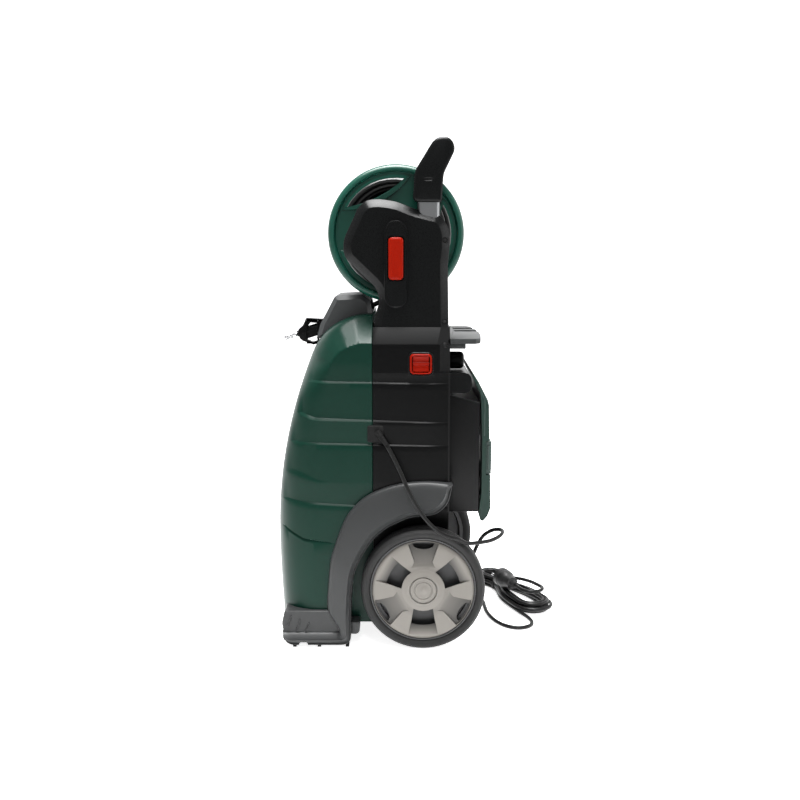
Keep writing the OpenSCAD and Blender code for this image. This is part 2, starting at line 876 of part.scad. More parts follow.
function ring(k) =
    let (n = len(route) - 1, t = n * k / rings,
        p = on_route(t), q = on_route(min(t + 0.02, n)), o = on_route(max(t - 0.02, 0)),
        w = (q - o) / norm(q - o), u0 = cross(w, [0.1, 0.2, 1]), u = u0 / norm(u0), v = cross(w, u))
    [for (j = [0 : sides - 1]) let (a = 360 * (j + 0.5) / sides)
        p + cable_d / 2 * (cos(a) * u + sin(a) * v)];

module mains_cable() {
    pts = [for (k = [0 : rings]) each ring(k)];
    wall_faces = [for (k = [0 : rings - 1], j = [0 : sides - 1])
        let (a = k * sides + j, b = k * sides + (j + 1) % sides)
        each [[a, a + sides, b], [b, a + sides, b + sides]]];
    start = [[for (j = [0 : sides - 1]) j]];
    end = [[for (j = [sides - 1 : -1 : 0]) rings * sides + j]];
    color("#151515") polyhedron(points = pts, faces = concat(wall_faces, start, end));
}

hank_at = [-75, 252];
hank_turn = 23;
hank_run = 170;
hank_r = 40;
plug_v = -20;

module on_hank() {
    translate([hank_at[0], hank_at[1], 0]) rotate([0, 0, hank_turn]) children();
}

module cable_hank() {
    color("#191919") on_hank() translate([0, 0, 2.5]) linear_extrude(20)
        obround([-hank_run / 2, 0], [hank_run / 2, 0], hank_r);
}

module cable_tie() {
    color("#303030") on_hank() difference() {
        box3([-44, -hank_r - 2.5, 0.3], [-32, hank_r + 2.5, 24.7]);
        box3([-45, -hank_r - 0.3, 2.4], [-31, hank_r + 0.3, 22.6]);
    }
}

module plug_body() {
    color("#161616") on_hank() {
        rod_x(-6, 24, plug_v, 41, 18.3);
        rod_x(24, 44, plug_v, 41, 13);
        rod_x(44, 52, plug_v, 41, 7);
    }
}

module plug_pins() {
    color("silver") on_hank() for (y = [-9.5, 9.5]) rod_x(-25, -6, plug_v + y, 41, 2.4);
}

// ---------- screws ----------

module body_screws() {
    color("#77797c") both_sides() {
        for (z = [702, 566]) rod_x(arm_out, arm_out + 1, 104.7, z, 3);
    }
}

// ---------- assembly ----------

base_tray();
front_shell();
rear_shell();
top_cowl();
left_fender();
right_fender();
foot_pads();
left_arm_cover();
right_arm_cover();
arm_frame();
reel_bushes();
swivel_joint();
high_pressure_pipe();
inlet_fitting();
hose_guide();
hose_tail();
hose_sleeve();
hose_nipple();
motor_housing();
pump_housing();
pump_head();
pressure_switch();
switch_bezel();
switch_block();
accessory_rack();
rear_cap();
storage_box();
wheel_axle();
axle_caps();
cable_gland();
mains_cable();
cable_hank();
cable_tie();
plug_body();
plug_pins();
body_screws();
left_tyre();
left_hub();
right_tyre();
right_hub();
left_handle_tube();
right_handle_tube();
handle_grip();
left_reel_flange();
right_reel_flange();
reel_drum();
reel_shaft();
hose_winding();
crank_arm();
crank_grip();
power_rocker();
regulator_knob();
box_door();
door_latch();
rotor();
cooling_fan();
wobble_plate();
piston_1();
piston_2();
piston_3();
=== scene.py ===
"""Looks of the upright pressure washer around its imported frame. Lengths are in mm until a mesh is made."""
import json
import math

import bmesh
import bpy
import numpy as np
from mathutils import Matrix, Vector


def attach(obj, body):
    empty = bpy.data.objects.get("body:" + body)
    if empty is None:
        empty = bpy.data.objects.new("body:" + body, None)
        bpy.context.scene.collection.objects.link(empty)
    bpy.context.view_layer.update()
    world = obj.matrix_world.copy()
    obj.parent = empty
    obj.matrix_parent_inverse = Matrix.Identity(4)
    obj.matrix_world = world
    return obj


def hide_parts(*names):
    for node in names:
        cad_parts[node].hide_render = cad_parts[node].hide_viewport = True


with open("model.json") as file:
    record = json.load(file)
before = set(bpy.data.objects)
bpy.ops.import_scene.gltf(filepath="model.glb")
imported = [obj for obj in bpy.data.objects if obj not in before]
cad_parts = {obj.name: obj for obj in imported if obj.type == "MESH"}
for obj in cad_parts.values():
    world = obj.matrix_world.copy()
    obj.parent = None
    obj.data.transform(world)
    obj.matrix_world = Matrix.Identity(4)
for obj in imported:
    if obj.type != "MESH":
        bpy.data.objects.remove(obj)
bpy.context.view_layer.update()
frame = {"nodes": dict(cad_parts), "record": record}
MM = 0.001
X_AXIS = (1, 0, 0)

# ---------- materials ----------

TONE_SCALE, TONE_CHANGE = 9.0, 0.06
GRAIN_SCALE, GRAIN_DEPTH = 900.0, 0.0004
ROUGH_CHANGE = 0.04
# painted shade: the near black that a wheel cover's recess floors are darkened towards
RECESS_SHADE_COLOUR = (0.03, 0.028, 0.026, 1)
# |X| of a wheel cover's deepest floors and of its face, and the share of its own colour left on the floors under the painted shade
COVER_FLOOR, COVER_FACE, FLOOR_SHARE_UNDER_SHADE = 184.8, 188.6, 0.10


def linked(name, data):
    obj = bpy.data.objects.new(name, data)
    bpy.context.collection.objects.link(obj)
    return obj


def new_node(tree, kind, inputs=(), **props):
    """Shader node with its properties and its unlinked inputs set."""
    node = tree.nodes.new("ShaderNode" + kind)
    for key, value in props.items():
        setattr(node, key, value)
    for key, value in dict(inputs).items():
        node.inputs[key].default_value = value
    return node


def new_material(name, inputs):
    """Material, its node tree and its shader with the given inputs."""
    mat = bpy.data.materials.new(name)
    mat.use_nodes = True
    shader = mat.node_tree.nodes["Principled BSDF"]
    for key, value in inputs.items():
        shader.inputs[key].default_value = value
    return mat, mat.node_tree, shader


def node_material(name, colour, rough, metal=0.0, bump=0.05, spec=0.5, stretch=(1, 1, 1)):
    """Plastic, rubber or metal with a fine moulded grain and a slow change of tone."""
    mat, tree, shader = new_material(name, {"Metallic": metal, "Specular IOR Level": spec})
    link = tree.links.new
    place = new_node(tree, "TexCoord")
    spread = new_node(tree, "Mapping", {"Scale": stretch})
    slow = new_node(tree, "TexNoise", {"Scale": TONE_SCALE, "Detail": 2.0})
    fine = new_node(tree, "TexNoise", {"Scale": GRAIN_SCALE, "Detail": 3.0})
    tone = new_node(tree, "Mix", {"A": [c * (1 - TONE_CHANGE) for c in colour] + [1],
                                  "B": [c * (1 + TONE_CHANGE) for c in colour] + [1]}, data_type="RGBA")
    relief = new_node(tree, "Bump", {"Strength": bump, "Distance": GRAIN_DEPTH})
    rough_range = new_node(tree, "MapRange", {"To Min": rough - ROUGH_CHANGE,
                                              "To Max": rough + ROUGH_CHANGE})
    link(place.outputs["Object"], spread.inputs["Vector"])
    link(spread.outputs["Vector"], slow.inputs["Vector"])
    link(spread.outputs["Vector"], fine.inputs["Vector"])
    link(slow.outputs["Fac"], tone.inputs["Factor"])
    link(tone.outputs["Result"], shader.inputs["Base Color"])
    link(fine.outputs["Fac"], relief.inputs["Height"])
    link(relief.outputs["Normal"], shader.inputs["Normal"])
    link(fine.outputs["Fac"], rough_range.inputs["Value"])
    link(rough_range.outputs["Result"], shader.inputs["Roughness"])
    return mat


FINISHES = {
    "green_plastic": dict(colour=(0.0022, 0.0200, 0.0130), rough=0.30, bump=0.02, spec=0.12),
    "black_plastic": dict(colour=(0.0020, 0.0021, 0.0022), rough=0.30, bump=0.02, spec=0.09),
    "grey_plastic": dict(colour=(0.026, 0.027, 0.0275), rough=0.38, bump=0.08, spec=0.24),
    "red_plastic": dict(colour=(0.22, 0.0060, 0.0010), rough=0.28, bump=0.03, spec=0.07),
    "hub_plastic": dict(colour=(0.16, 0.150, 0.135), rough=0.40, bump=0.04, spec=0.3),
    "white_plastic": dict(colour=(0.66, 0.64, 0.58), rough=0.45),
    "tyre_rubber": dict(colour=(0.011, 0.011, 0.011), rough=0.60, bump=0.20, spec=0.25),
    "rubber": dict(colour=(0.006, 0.006, 0.006), rough=0.6, bump=0.2, spec=0.15),
    "cable_pvc": dict(colour=(0.006, 0.006, 0.006), rough=0.34, bump=0.04, spec=0.2),
    "hose_pvc": dict(colour=(0.008, 0.008, 0.008), rough=0.30, bump=0.06),
    "aluminium": dict(colour=(0.24, 0.245, 0.25), rough=0.32, metal=1.0, bump=0.05, stretch=(1, 1, 0.05)),
    "steel": dict(colour=(0.56, 0.56, 0.57), rough=0.28, metal=1.0, bump=0.03),
    "brass": dict(colour=(0.62, 0.43, 0.16), rough=0.3, metal=1.0, bump=0.03),
    "cast_aluminium": dict(colour=(0.52, 0.53, 0.55), rough=0.55, metal=1.0, bump=0.3),
    "copper": dict(colour=(0.62, 0.28, 0.14), rough=0.35, metal=1.0, bump=0.05),
    "zinc_screw": dict(colour=(0.50, 0.52, 0.54), rough=0.34, metal=1.0, bump=0.05),
    "plug_pvc": dict(colour=(0.010, 0.010, 0.010), rough=0.45, bump=0.08),
    "plug_pin": dict(colour=(0.60, 0.60, 0.61), rough=0.22, metal=1.0, bump=0.02),
    "cowl_grey": dict(colour=(0.034, 0.036, 0.037), rough=0.45, bump=0.12, spec=0.35),
    "dark_hub": dict(colour=(0.024, 0.024, 0.025), rough=0.5, bump=0.1),
    "arm_plastic": dict(colour=(0.0028, 0.0031, 0.0032), rough=0.28, bump=0.03, spec=0.11),
    "dark_screw": dict(colour=(0.05, 0.05, 0.05), rough=0.4, metal=0.9),
    "reel_green": dict(colour=(0.004, 0.046, 0.031), rough=0.30, bump=0.03, spec=0.28),
    "rack_grey": dict(colour=(0.028, 0.030, 0.030), rough=0.42, bump=0.10, spec=0.22),
    "box_grey": dict(colour=(0.0055, 0.0056, 0.0058), rough=0.34, bump=0.06, spec=0.13),
    "latch_green": dict(colour=(0.030, 0.050, 0.044), rough=0.42, bump=0.08, spec=0.35),
    "door_green": dict(colour=(0.010, 0.027, 0.021), rough=0.36, bump=0.06, spec=0.22),
}
M = {name: node_material(name, **look) for name, look in FINISHES.items()}


def paint_recess_shade(mat):
    """Paints shade into a wheel cover's plastic inside its recesses, where |X| is below the face."""
    tree = mat.node_tree
    link = tree.links.new
    colour = tree.nodes["Principled BSDF"].inputs["Base Color"]
    tone = colour.links[0].from_socket
    place = new_node(tree, "TexCoord")
    split = new_node(tree, "SeparateXYZ")
    size = new_node(tree, "Math", operation="ABSOLUTE")
    fall = new_node(tree, "MapRange", {"From Min": COVER_FLOOR * MM, "From Max": COVER_FACE * MM,
                                       "To Min": FLOOR_SHARE_UNDER_SHADE, "To Max": 1.0})
    mix = new_node(tree, "Mix", {"A": RECESS_SHADE_COLOUR}, data_type="RGBA")
    link(place.outputs["Object"], split.inputs["Vector"])
    link(split.outputs["X"], size.inputs[0])
    link(size.outputs["Value"], fall.inputs["Value"])
    link(fall.outputs["Result"], mix.inputs["Factor"])
    link(tone, mix.inputs["B"])
    link(mix.outputs["Result"], colour)


# the wheel cover plastic gets painted shade on its recess floors
paint_recess_shade(M["hub_plastic"])

# ---------- meshes ----------


def sharpen(obj, angle):
    """Smooth shading that breaks at edges sharper than the angle."""
    for face in obj.data.polygons:
        face.use_smooth = True
    obj.data.set_sharp_from_angle(angle=math.radians(angle))
    return obj


def finish_mesh(obj, angle=32):
    bm = bmesh.new()
    bm.from_mesh(obj.data)
    bmesh.ops.remove_doubles(bm, verts=bm.verts, dist=1e-6)
    bmesh.ops.recalc_face_normals(bm, faces=bm.faces)
    bm.to_mesh(obj.data)
    bm.free()
    return sharpen(obj, angle)


def mesh_from(name, verts, faces, angle=32):
    data = bpy.data.meshes.new(name)
    data.from_pydata([tuple(float(c) * MM for c in v) for v in verts], [], faces)
    return finish_mesh(linked(name, data), angle)


def put(obj, body, finish, *nodes, material=None):
    """Gives a piece its finish and its body, and hides the CAD nodes that it stands for."""
    if obj.data.materials:
        obj.data.materials.clear()
    obj.data.materials.append(M[material or finish])
    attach(obj, body)
    if nodes:
        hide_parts(*nodes)
    return obj


def baked(obj):
    """Applies the object's modifiers to its mesh."""
    bpy.context.view_layer.update()
    deps = bpy.context.evaluated_depsgraph_get()
    data = bpy.data.meshes.new_from_object(obj.evaluated_get(deps))
    obj.modifiers.clear()
    old = obj.data
    obj.data = data
    bpy.data.meshes.remove(old)
    return obj


def carve(obj, *cutters):
    """Takes the cutters out of the object and removes them."""
    for cutter in cutters:
        mod = obj.modifiers.new("cut", "BOOLEAN")
        mod.operation = "DIFFERENCE"
        mod.solver = "EXACT"
        mod.object = cutter
    baked(obj)
    for cutter in cutters:
        bpy.data.objects.remove(cutter)
    return finish_mesh(obj)


def round_edges(obj, width, steps=2, angle=35):
    mod = obj.modifiers.new("edges", "BEVEL")
    mod.width = width * MM
    mod.segments = steps
    mod.limit_method = "ANGLE"
    mod.angle_limit = math.radians(angle)
    mod.harden_normals = True
    return obj


def mirrored(obj, name):
    """Copy of obj on the other side of the plane X = 0."""
    data = obj.data.copy()
    for v in data.vertices:
        v.co.x = -v.co.x
    data.flip_normals()
    return linked(name, data)


def moved_over(obj):
    """Replaces the object by its mirror image."""
    copy = mirrored(obj, obj.name + "_m")
    bpy.data.objects.remove(obj)
    return copy


def joined(name, objs):
    """One object from several; the modifiers are applied first."""
    bm = bmesh.new()
    for obj in objs:
        if obj.modifiers:
            baked(obj)
        bm.from_mesh(obj.data)
    data = bpy.data.meshes.new(name)
    bm.to_mesh(data)
    bm.free()
    for obj in objs:
        bpy.data.objects.remove(obj)
    return sharpen(linked(name, data), 32)


def area(ring):
    return sum(a[0] * b[1] - b[0] * a[1] for a, b in zip(ring, ring[1:] + ring[:1])) / 2


def inset(ring, k):
    """Closed outline moved k inwards, corner by corner."""
    if abs(k) < 1e-9:
        return list(ring)
    side = 1 if area(ring) > 0 else -1
    out = []
    for i, p in enumerate(ring):
        a, b = Vector(ring[i - 1]), Vector(ring[(i + 1) % len(ring)])
        p = Vector(p)
        d0, d1 = (p - a).normalized(), (b - p).normalized()
        n0 = Vector((-d0.y, d0.x)) * side
        n1 = Vector((-d1.y, d1.x)) * side
        m = n0 + n1
        out.append(tuple(p + m * (k / max(0.35, m.dot(n0)))))
    return out


def to_3d(a, b, p, axis):
    return {"X": (p, a, b), "Y": (a, p, b), "Z": (a, b, p)}[axis]


def tube_faces(n, rings):
    """Faces of a closed tube: its sides, ring by ring, and its two ends."""
    faces = []
    for j in range(rings - 1):
        for i in range(n):
            q = (i + 1) % n
            faces.append((j * n + i, j * n + q, (j + 1) * n + q, (j + 1) * n + i))
    return faces + [tuple(range(n)), tuple((rings - 1) * n + i for i in range(n))]


def grid_faces(rows, wide):
    """Faces between the rows of a sheet of points."""
    return [(a, a + 1, a + 1 + wide, a + wide)
            for j in range(rows - 1) for a in range(j * wide, j * wide + wide - 1)]


def stack(name, ring, layers, axis="X"):
    """Closed solid from one outline: layers are (place along axis, inset)."""
    verts = [to_3d(a, b, place, axis) for place, k in layers for a, b in inset(ring, k)]
    return mesh_from(name, verts, tube_faces(len(ring), len(layers)))


def slab(name, ring, lo, hi, axis="X", edge=0.0):
    """Solid from lo to hi with both rims chamfered."""
    if edge <= 0:
        return stack(name, ring, [(lo, 0), (hi, 0)], axis)
    c = edge * 0.3
    return stack(name, ring, [(lo, edge), (lo + c, c), (lo + edge, 0), (hi - edge, 0), (hi - c, c),
                              (hi, edge)], axis)


def lathe(name, profile, centre, axis=X_AXIS, steps=96, closed=False):
    """Turned piece. profile is (distance from the axis, place along it)."""
    w = Vector(axis).normalized()
    u = w.orthogonal().normalized()
    v = w.cross(u)
    c = Vector(centre)
    verts, faces = [], []
    n = len(profile)
    for k in range(steps):
        t = 2 * math.pi * k / steps
        ray = u * math.cos(t) + v * math.sin(t)
        verts += [c + w * h + ray * r for r, h in profile]
    last = n if closed else n - 1
    for k in range(steps):
        q = (k + 1) % steps
        for i in range(last):
            j = (i + 1) % n
            faces.append((k * n + i, k * n + j, q * n + j, q * n + i))
    if not closed:
        for i in (0, n - 1):
            if profile[i][0] > 1e-6:
                faces.append(tuple(k * n + i for k in range(steps)))
    return mesh_from(name, verts, faces)


def curve(name, points, radius, sides=4):
    data = bpy.data.curves.new(name, "CURVE")
    data.dimensions = "3D"
    data.bevel_depth = radius * MM
    data.bevel_resolution = sides
    data.use_fill_caps = True
    line = data.splines.new("POLY")
    line.points.add(len(points) - 1)
    for p, q in zip(line.points, points):
        p.co = (q[0] * MM, q[1] * MM, q[2] * MM, 1)
    line.use_smooth = True
    return linked(name, data)


def turned(u, v, degrees, y=0.0, z=0.0):
    """The point (u, v) turned about the origin, then moved by (y, z)."""
    t = math.radians(degrees)
    return (y + u * math.cos(t) - v * math.sin(t), z + u * math.sin(t) + v * math.cos(t))


def arc(cx, cy, r, a0, a1, n):
    return [(cx + r * math.cos(math.radians(a0 + (a1 - a0) * i / n)),
             cy + r * math.sin(math.radians(a0 + (a1 - a0) * i / n))) for i in range(n + 1)]


def rounded(a, b, r, n=5):
    """Rectangle with round corners."""
    (x0, y0), (x1, y1) = a, b
    return (arc(x1 - r, y0 + r, r, -90, 0, n) + arc(x1 - r, y1 - r, r, 0, 90, n)
            + arc(x0 + r, y1 - r, r, 90, 180, n) + arc(x0 + r, y0 + r, r, 180, 270, n))


def soft_corners(ring, r, n=4):
    """Outline with its corners rounded by about r."""
    out = []
    for i, p in enumerate(ring):
        p, a, b = Vector(p), Vector(ring[i - 1]), Vector(ring[(i + 1) % len(ring)])
        k = min(r, (a - p).length * 0.45, (b - p).length * 0.45)
        s, e = p + (a - p).normalized() * k, p + (b - p).normalized() * k
        for j in range(n + 1):
            t = j / n
            out.append(tuple(s * (1 - t) ** 2 + p * 2 * t * (1 - t) + e * t * t))
    return out


def spline(points, per):
    """Points on a smooth line through the given ones."""
    pts = [Vector(p) for p in points]
    n = len(pts)
    out = []
    for i in range(n - 1):
        a, b, c, d = pts[max(i - 1, 0)], pts[i], pts[i + 1], pts[min(i + 2, n - 1)]
        for k in range(per):
            u = k / per
            out.append(0.5 * (2 * b + (c - a) * u + (2 * a - 5 * b + 4 * c - d) * u * u
                              + (3 * b - a - 3 * c + d) * u ** 3))
    return out + [pts[-1]]


# ---------- camera ----------

CAMERA_AT = (1.75468, 0.029, 0.67885)
CAMERA_DOWN = 8.737
LENS = 42.75


def make_camera():
    data = bpy.data.cameras.new("camera")
    data.lens = LENS
    data.sensor_width = 36
    cam = linked("camera", data)
    cam.location = CAMERA_AT
    down = math.radians(CAMERA_DOWN)
    cam.rotation_euler = Vector((-math.cos(down), 0, -math.sin(down))).to_track_quat("-Z", "Y").to_euler()
    bpy.context.scene.camera = cam


make_camera()

# ---------- mains cable ----------

CABLE_D = 7.0
CABLE_LENGTH = 5000.0
ROUTE = [(177, 8, 356), (181, 16, 342), (186, 27, 320), (191, 37, 298), (195.5, 46, 278),
         (197, 56, 259), (198, 68, 241), (199, 81, 226), (199, 96, 213), (198, 111, 205),
         (195, 127, 200), (188, 142, 191), (179, 157, 188), (170, 172, 187), (161, 186, 187),
         (150, 199, 189), (136, 208, 191), (119, 211, 192), (103, 205, 190), (92, 193, 184),
         (87, 179, 172), (87, 168, 152), (88, 159, 127), (88, 152, 99), (86, 147, 71),
         (82, 141, 46), (73, 135, 26), (59, 130, 12), (41, 127, 5), (22, 125, 4), (2, 125, 4),
         (-18, 127, 4), (-38, 133, 4), (-53, 147, 4), (-57, 166, 4), (-48, 183, 4),
         (-30, 192, 4), (-6, 193, 4), (18, 194, 4), (42, 198, 4), (64, 205, 4), (84, 216, 4),
         (98, 231, 4), (102, 249, 4), (94, 266, 4), (76, 274, 4), (54, 269, 5), (31, 257.5, 6)]
HANK_AT = (-75, 252)
HANK_TURN = 23.0
TIE_U = -38.0
# (radius, height, longer by) of each turn of the hank, in the order they are laid
SLOTS = [(36.5, 6, 2), (29.5, 6, 0.7), (22.5, 6, 0), (22.5, 12.9, 0), (29.5, 12.9, 1.4),
         (36.5, 12.9, 3), (29.5, 19.8, 0.6), (22.5, 19.8, 0)]
PLUG_V = -20.0
PLUG_Z = 41.0


def hank_to_row(u, v, z):
    return Vector((*turned(u, v, HANK_TURN, *HANK_AT), z))


def smooth_step(t):
    t = min(1.0, max(0.0, t))
    return t * t * (3 - 2 * t)


def hank_line(half):
    """The turns of the hank and the tail up to the plug, in hank axes."""
    out = []

    def add(u, v, z, r):
        pinch = 19 * math.exp(-((u - TIE_U) / 45) ** 2)
        out.append((u, v * (1 - pinch / r) if r else v, z))

    for u in np.arange(92, -half, -8):
        add(u, -SLOTS[0][0], SLOTS[0][1], SLOTS[0][0])
    for i, (r, z, more) in enumerate(SLOTS):
        for a in np.linspace(-90, -270, 19):
            t = math.radians(a)
            add(-half - more * math.sin(math.radians((-90 - a))) + r * math.cos(t), r * math.sin(t), z, r)
        if i == len(SLOTS) - 1:
            break
        r2, z2, more2 = SLOTS[i + 1]
        for k in range(1, 20):
            s = smooth_step(k / 20)
            u = -half + 2 * half * k / 20
            add(u, r + (r2 - r) * s, z + (z2 - z) * s, r + (r2 - r) * s)
        for a in np.linspace(90, -90, 19):
            t = math.radians(a)
            add(half + more2 * math.sin(math.radians((90 - a))) + r2 * math.cos(t), r2 * math.sin(t), z2, r2)
        for k in range(1, 20):
            add(half - 2 * half * k / 20, -r2, z2, r2)
    r, z, more = SLOTS[-1]
    end = 76.0
    for k in range(1, 20):
        t = k / 20
        u = -half + (end + half) * t
        height = z + (PLUG_Z - z) * (1 - (1 - t) ** 1.6)
        add(u, r, height, r)
    turn = (r - PLUG_V) / 2
    for a in np.linspace(90, -90, 19):
        t = math.radians(a)
        out.append((end + turn * math.cos(t), PLUG_V + turn + turn * math.sin(t), PLUG_Z))
    out.append((64, PLUG_V, PLUG_Z))
    out.append((52, PLUG_V, PLUG_Z))
    return [hank_to_row(*p) for p in out]


def run(points):
    return sum((Vector(b) - Vector(a)).length for a, b in zip(points, points[1:]))


def make_cable():
    lead = spline(ROUTE, 4)
    lo, hi = 40.0, 110.0
    for _ in range(40):
        mid = (lo + hi) / 2
        if run(lead + hank_line(mid)) < CABLE_LENGTH:
            lo = mid
        else:
            hi = mid
    line = lead + hank_line(lo)
    return put(curve("mains_flex", line, CABLE_D / 2, 5), "root", "cable_pvc",
               "mains_cable", "cable_hank")


cable = make_cable()

# ---------- body shells ----------

SIDE_X = 166.0
PART_Y = -18.0
SHELL_Z = 30.0
REAR_Y = 114.0


def bezier(a, b, c, d, n, first=0):
    a, b, c, d = (np.array(p, float) for p in (a, b, c, d))
    return [tuple((1 - t) ** 3 * a + 3 * (1 - t) ** 2 * t * b + 3 * (1 - t) * t * t * c + t ** 3 * d)
            for t in (i / n for i in range(first, n + 1))]


# front edge in side view, (Y, Z) from the bottom to the crown
FRONT = (bezier((-182, 30), (-186, 90), (-189, 130), (-189, 190), 12)
         + bezier((-189, 190), (-189, 300), (-166, 405), (-126.5, 507), 24, 1)
         + bezier((-126.5, 507), (-110.3, 549), (-70, 576), (-18, 576), 18, 1))
# edge between the side face and the sloped band over it, (Y, Z)
CREASE = [(300, 531), (-14.3, 531.5), (-41.5, 529.5), (-61, 523), (-72, 516), (-79.5, 508.5),
          (-87, 497), (-91, 482), (-92, 465), (-97, 430), (-106, 380), (-113, 300), (-115, 30)]
# side lines from the top one down: (Y, Z), rise of the ledge at its ends, depth at its ends
LEDGES = [
    {"line": [(-129.7, 463.5), (97, 461)], "start": -131, "rise": (3.6, 1.7), "deep": (3.8, 2.0)},
    {"line": [(-150, 409.5), (-145.5, 408.3), (-117, 399.2), (95, 394)], "start": -147,
     "rise": (5.6, 1.5), "deep": (5.4, 1.8)},
    {"line": [(-160, 358), (100, 353.8)], "start": -161, "rise": (3.8, 1.7), "deep": (4.0, 2.0)},
    {"line": [(-168.4, 305), (-150, 303.5), (-130.5, 298), (-110, 292), (97, 290)], "start": -169,
     "rise": (7.0, 7.0), "deep": (2.4, 0.2), "fade": -95},
    {"line": [(-175.7, 255.2), (-42, 247.8), (97, 246)], "start": -177, "rise": (3.8, 1.7),
     "deep": (4.0, 2.0)},
]
GROOVE = {"line": [(-175, 208), (-165, 203), (-138.5, 190.5), (-90.6, 185), (97, 180)], "start": -178}


def crease_distance(y, z):
    """How far a point of the side view lies outside the side face."""
    pts = np.array(CREASE, float)
    best = np.full(y.shape, 1e9)
    for a, b in zip(pts[:-1], pts[1:]):
        d = b - a
        t = np.clip(((y - a[0]) * d[0] + (z - a[1]) * d[1]) / (d @ d), 0, 1)
        best = np.minimum(best, np.hypot(y - a[0] - t * d[0], z - a[1] - t * d[1]))
    edge_y = np.interp(z, pts[::-1, 1], pts[::-1, 0])
    inside = (y > edge_y) & (z < 531.5)
    return np.where(inside, 0.0, best)


def shell_rows():
    """Rows of the side from the bottom up, each (Z over Y, depth over Y) as functions."""
    rows = []

    def level(spec):
        return lambda y: np.interp(y, [p[0] for p in spec["line"]], [p[1] for p in spec["line"]])

    def between(lo, hi, t):
        return lambda y: lo(y) * (1 - t) + hi(y) * t

    def flat(z):
        return lambda y: np.full(y.shape, float(z))

    def span(spec, key):
        def value(y):
            t = np.clip((y - spec["start"]) / (90 - spec["start"]), 0, 1) ** 0.6
            out = spec[key][0] * (1 - t) + spec[key][1] * t
            out = out * np.clip((y - spec["start"]) / 9.0, 0, 1)
            if "fade" in spec:
                out = out * np.clip((spec["fade"] - y) / 40, 0, 1)
            return out
        return value

    none = flat(0)
    low = level(GROOVE)

    def cut(y):
        t = np.clip((y - GROOVE["start"]) / 10, 0, 1) * np.clip((-80 - y) / 60, 0, 1)
        return 3.0 * t

    for t in np.linspace(0, 1, 9)[:-1]:
        rows.append((between(flat(SHELL_Z), lambda y: low(y) - 4.5, t), none))
    for t in (0.0, 0.35, 0.7):
        rows.append((lambda y, t=t: low(y) - 4.5 + 4.5 * t, lambda y, t=t: cut(y) * t))
    rows.append((lambda y: low(y) - 0.2, cut))
    rows.append((lambda y: low(y) + 0.6, none))
    below = lambda y: low(y) + 1.2
    for spec in LEDGES[::-1]:
        line = level(spec)
        deep, rise = span(spec, "deep"), span(spec, "rise")
        before = rows[-1][1] if len(rows) > 13 else none
        for t in np.linspace(0, 1, 7)[:-1]:
            rows.append((between(below, lambda y, f=line: f(y) - 0.7, t),
                         lambda y, t=t, g=before: g(y) * (1 - t)))
        rows.append((lambda y, f=line: f(y) - 0.6, none))
        rows.append((line, lambda y, g=deep: 0.08 * g(y)))
        rows.append((lambda y, f=line, g=rise: f(y) + 0.3 + g(y), deep))
        below = lambda y, f=line, g=rise: f(y) + 1.0 + g(y)
    top = rows[-1][1]
    for z in (474, 482, 490, 497):
        rows.append((flat(z), lambda y, z=z: top(y) * max(0.0, (495 - z) / 30)))
    return rows


def front_half():
    """Points of the front shell's left half: rows from the bottom up, columns from side to nose."""
    angles = np.radians(np.concatenate([[0, 0.35], np.linspace(1, 8, 6), np.linspace(8.6, 40, 54),
                                        np.linspace(41.2, 90, 36)]))
    rows = shell_rows()
    for z in np.arange(500, 533, 2.2):
        rows.append((lambda y, z=z: np.full(y.shape, z), lambda y: np.zeros(y.shape)))
    tops = [z for y, z in FRONT if z > 534] + [575.2, 575.9]
    extra = np.interp(np.linspace(0, 1, 22), np.linspace(0, 1, len(tops)), tops)
    for z in extra:
        rows.append((lambda y, z=z: np.full(y.shape, z), lambda y: np.zeros(y.shape)))
    fy = np.array([p[0] for p in FRONT])
    fz = np.array([p[1] for p in FRONT])
    out = []
    for level, depth in rows:
        lo, hi = np.zeros(angles.shape), np.full(angles.shape, 300.0)
        for _ in range(34):
            r = (lo + hi) / 2
            x, y = r * np.cos(angles), PART_Y - r * np.sin(angles)
            z = level(y)
            d = crease_distance(y, z)
            soft = np.interp(z, [440, 476, 496], [60, 16, 0.6])
            steep = np.interp(z, [440, 500], [1.0, 1.2])
            band = steep * (np.sqrt(d * d + soft * soft) - soft)
            side = x - (SIDE_X - depth(y) - band)
            nose = np.interp(z, fz, fy) + 1.5 * (x / 90) ** 2 - y
            k = np.interp(z, [470, 540, 576], [34, 24, 8])
            h = np.maximum(k - np.abs(side - nose), 0) / k
            outside = np.maximum(side, nose) + h * h * k / 4 > 0
            hi = np.where(outside, r, hi)
            lo = np.where(outside, lo, r)
        x, y = r * np.cos(angles), PART_Y - r * np.sin(angles)
        x[0] -= 0.9
        x[-1] = 0.0
        out.append(np.stack([x, y, level(y)], 1))
    return out


def closed_half(name, rows):
    """Solid from the left half and its mirror image, closed at its open side."""
    full = [np.concatenate([r, r[-2::-1] * np.array([-1, 1, 1])]) for r in rows]
    return mesh_from(name, np.concatenate(full), tube_faces(len(full[0]), len(full)), 22)


SIDE_NAME = {1: "left", -1: "right"}
# axes of the left handle tube, the reel, the regulator knob and the wheels
TUBE_X, TUBE_Y = 129.0, 77.0
REEL_Y, REEL_Z = 22.0, 713.0
REEL_AT = (0, REEL_Y, REEL_Z)
KNOB_X, KNOB_Z = 95, 495
WHEEL_Y, WHEEL_Z = 69.0, 107.0
WHEEL_AT = (0, WHEEL_Y, WHEEL_Z)
SHAFT_BORE = 10.3
# a wheel well's inner wall and radius, and the X that its cover's cutters run out to
WELL_X, WELL_R = 138.0, 132.5
HUB_CLEAR = 193.5
ROCKER_TILT = 5
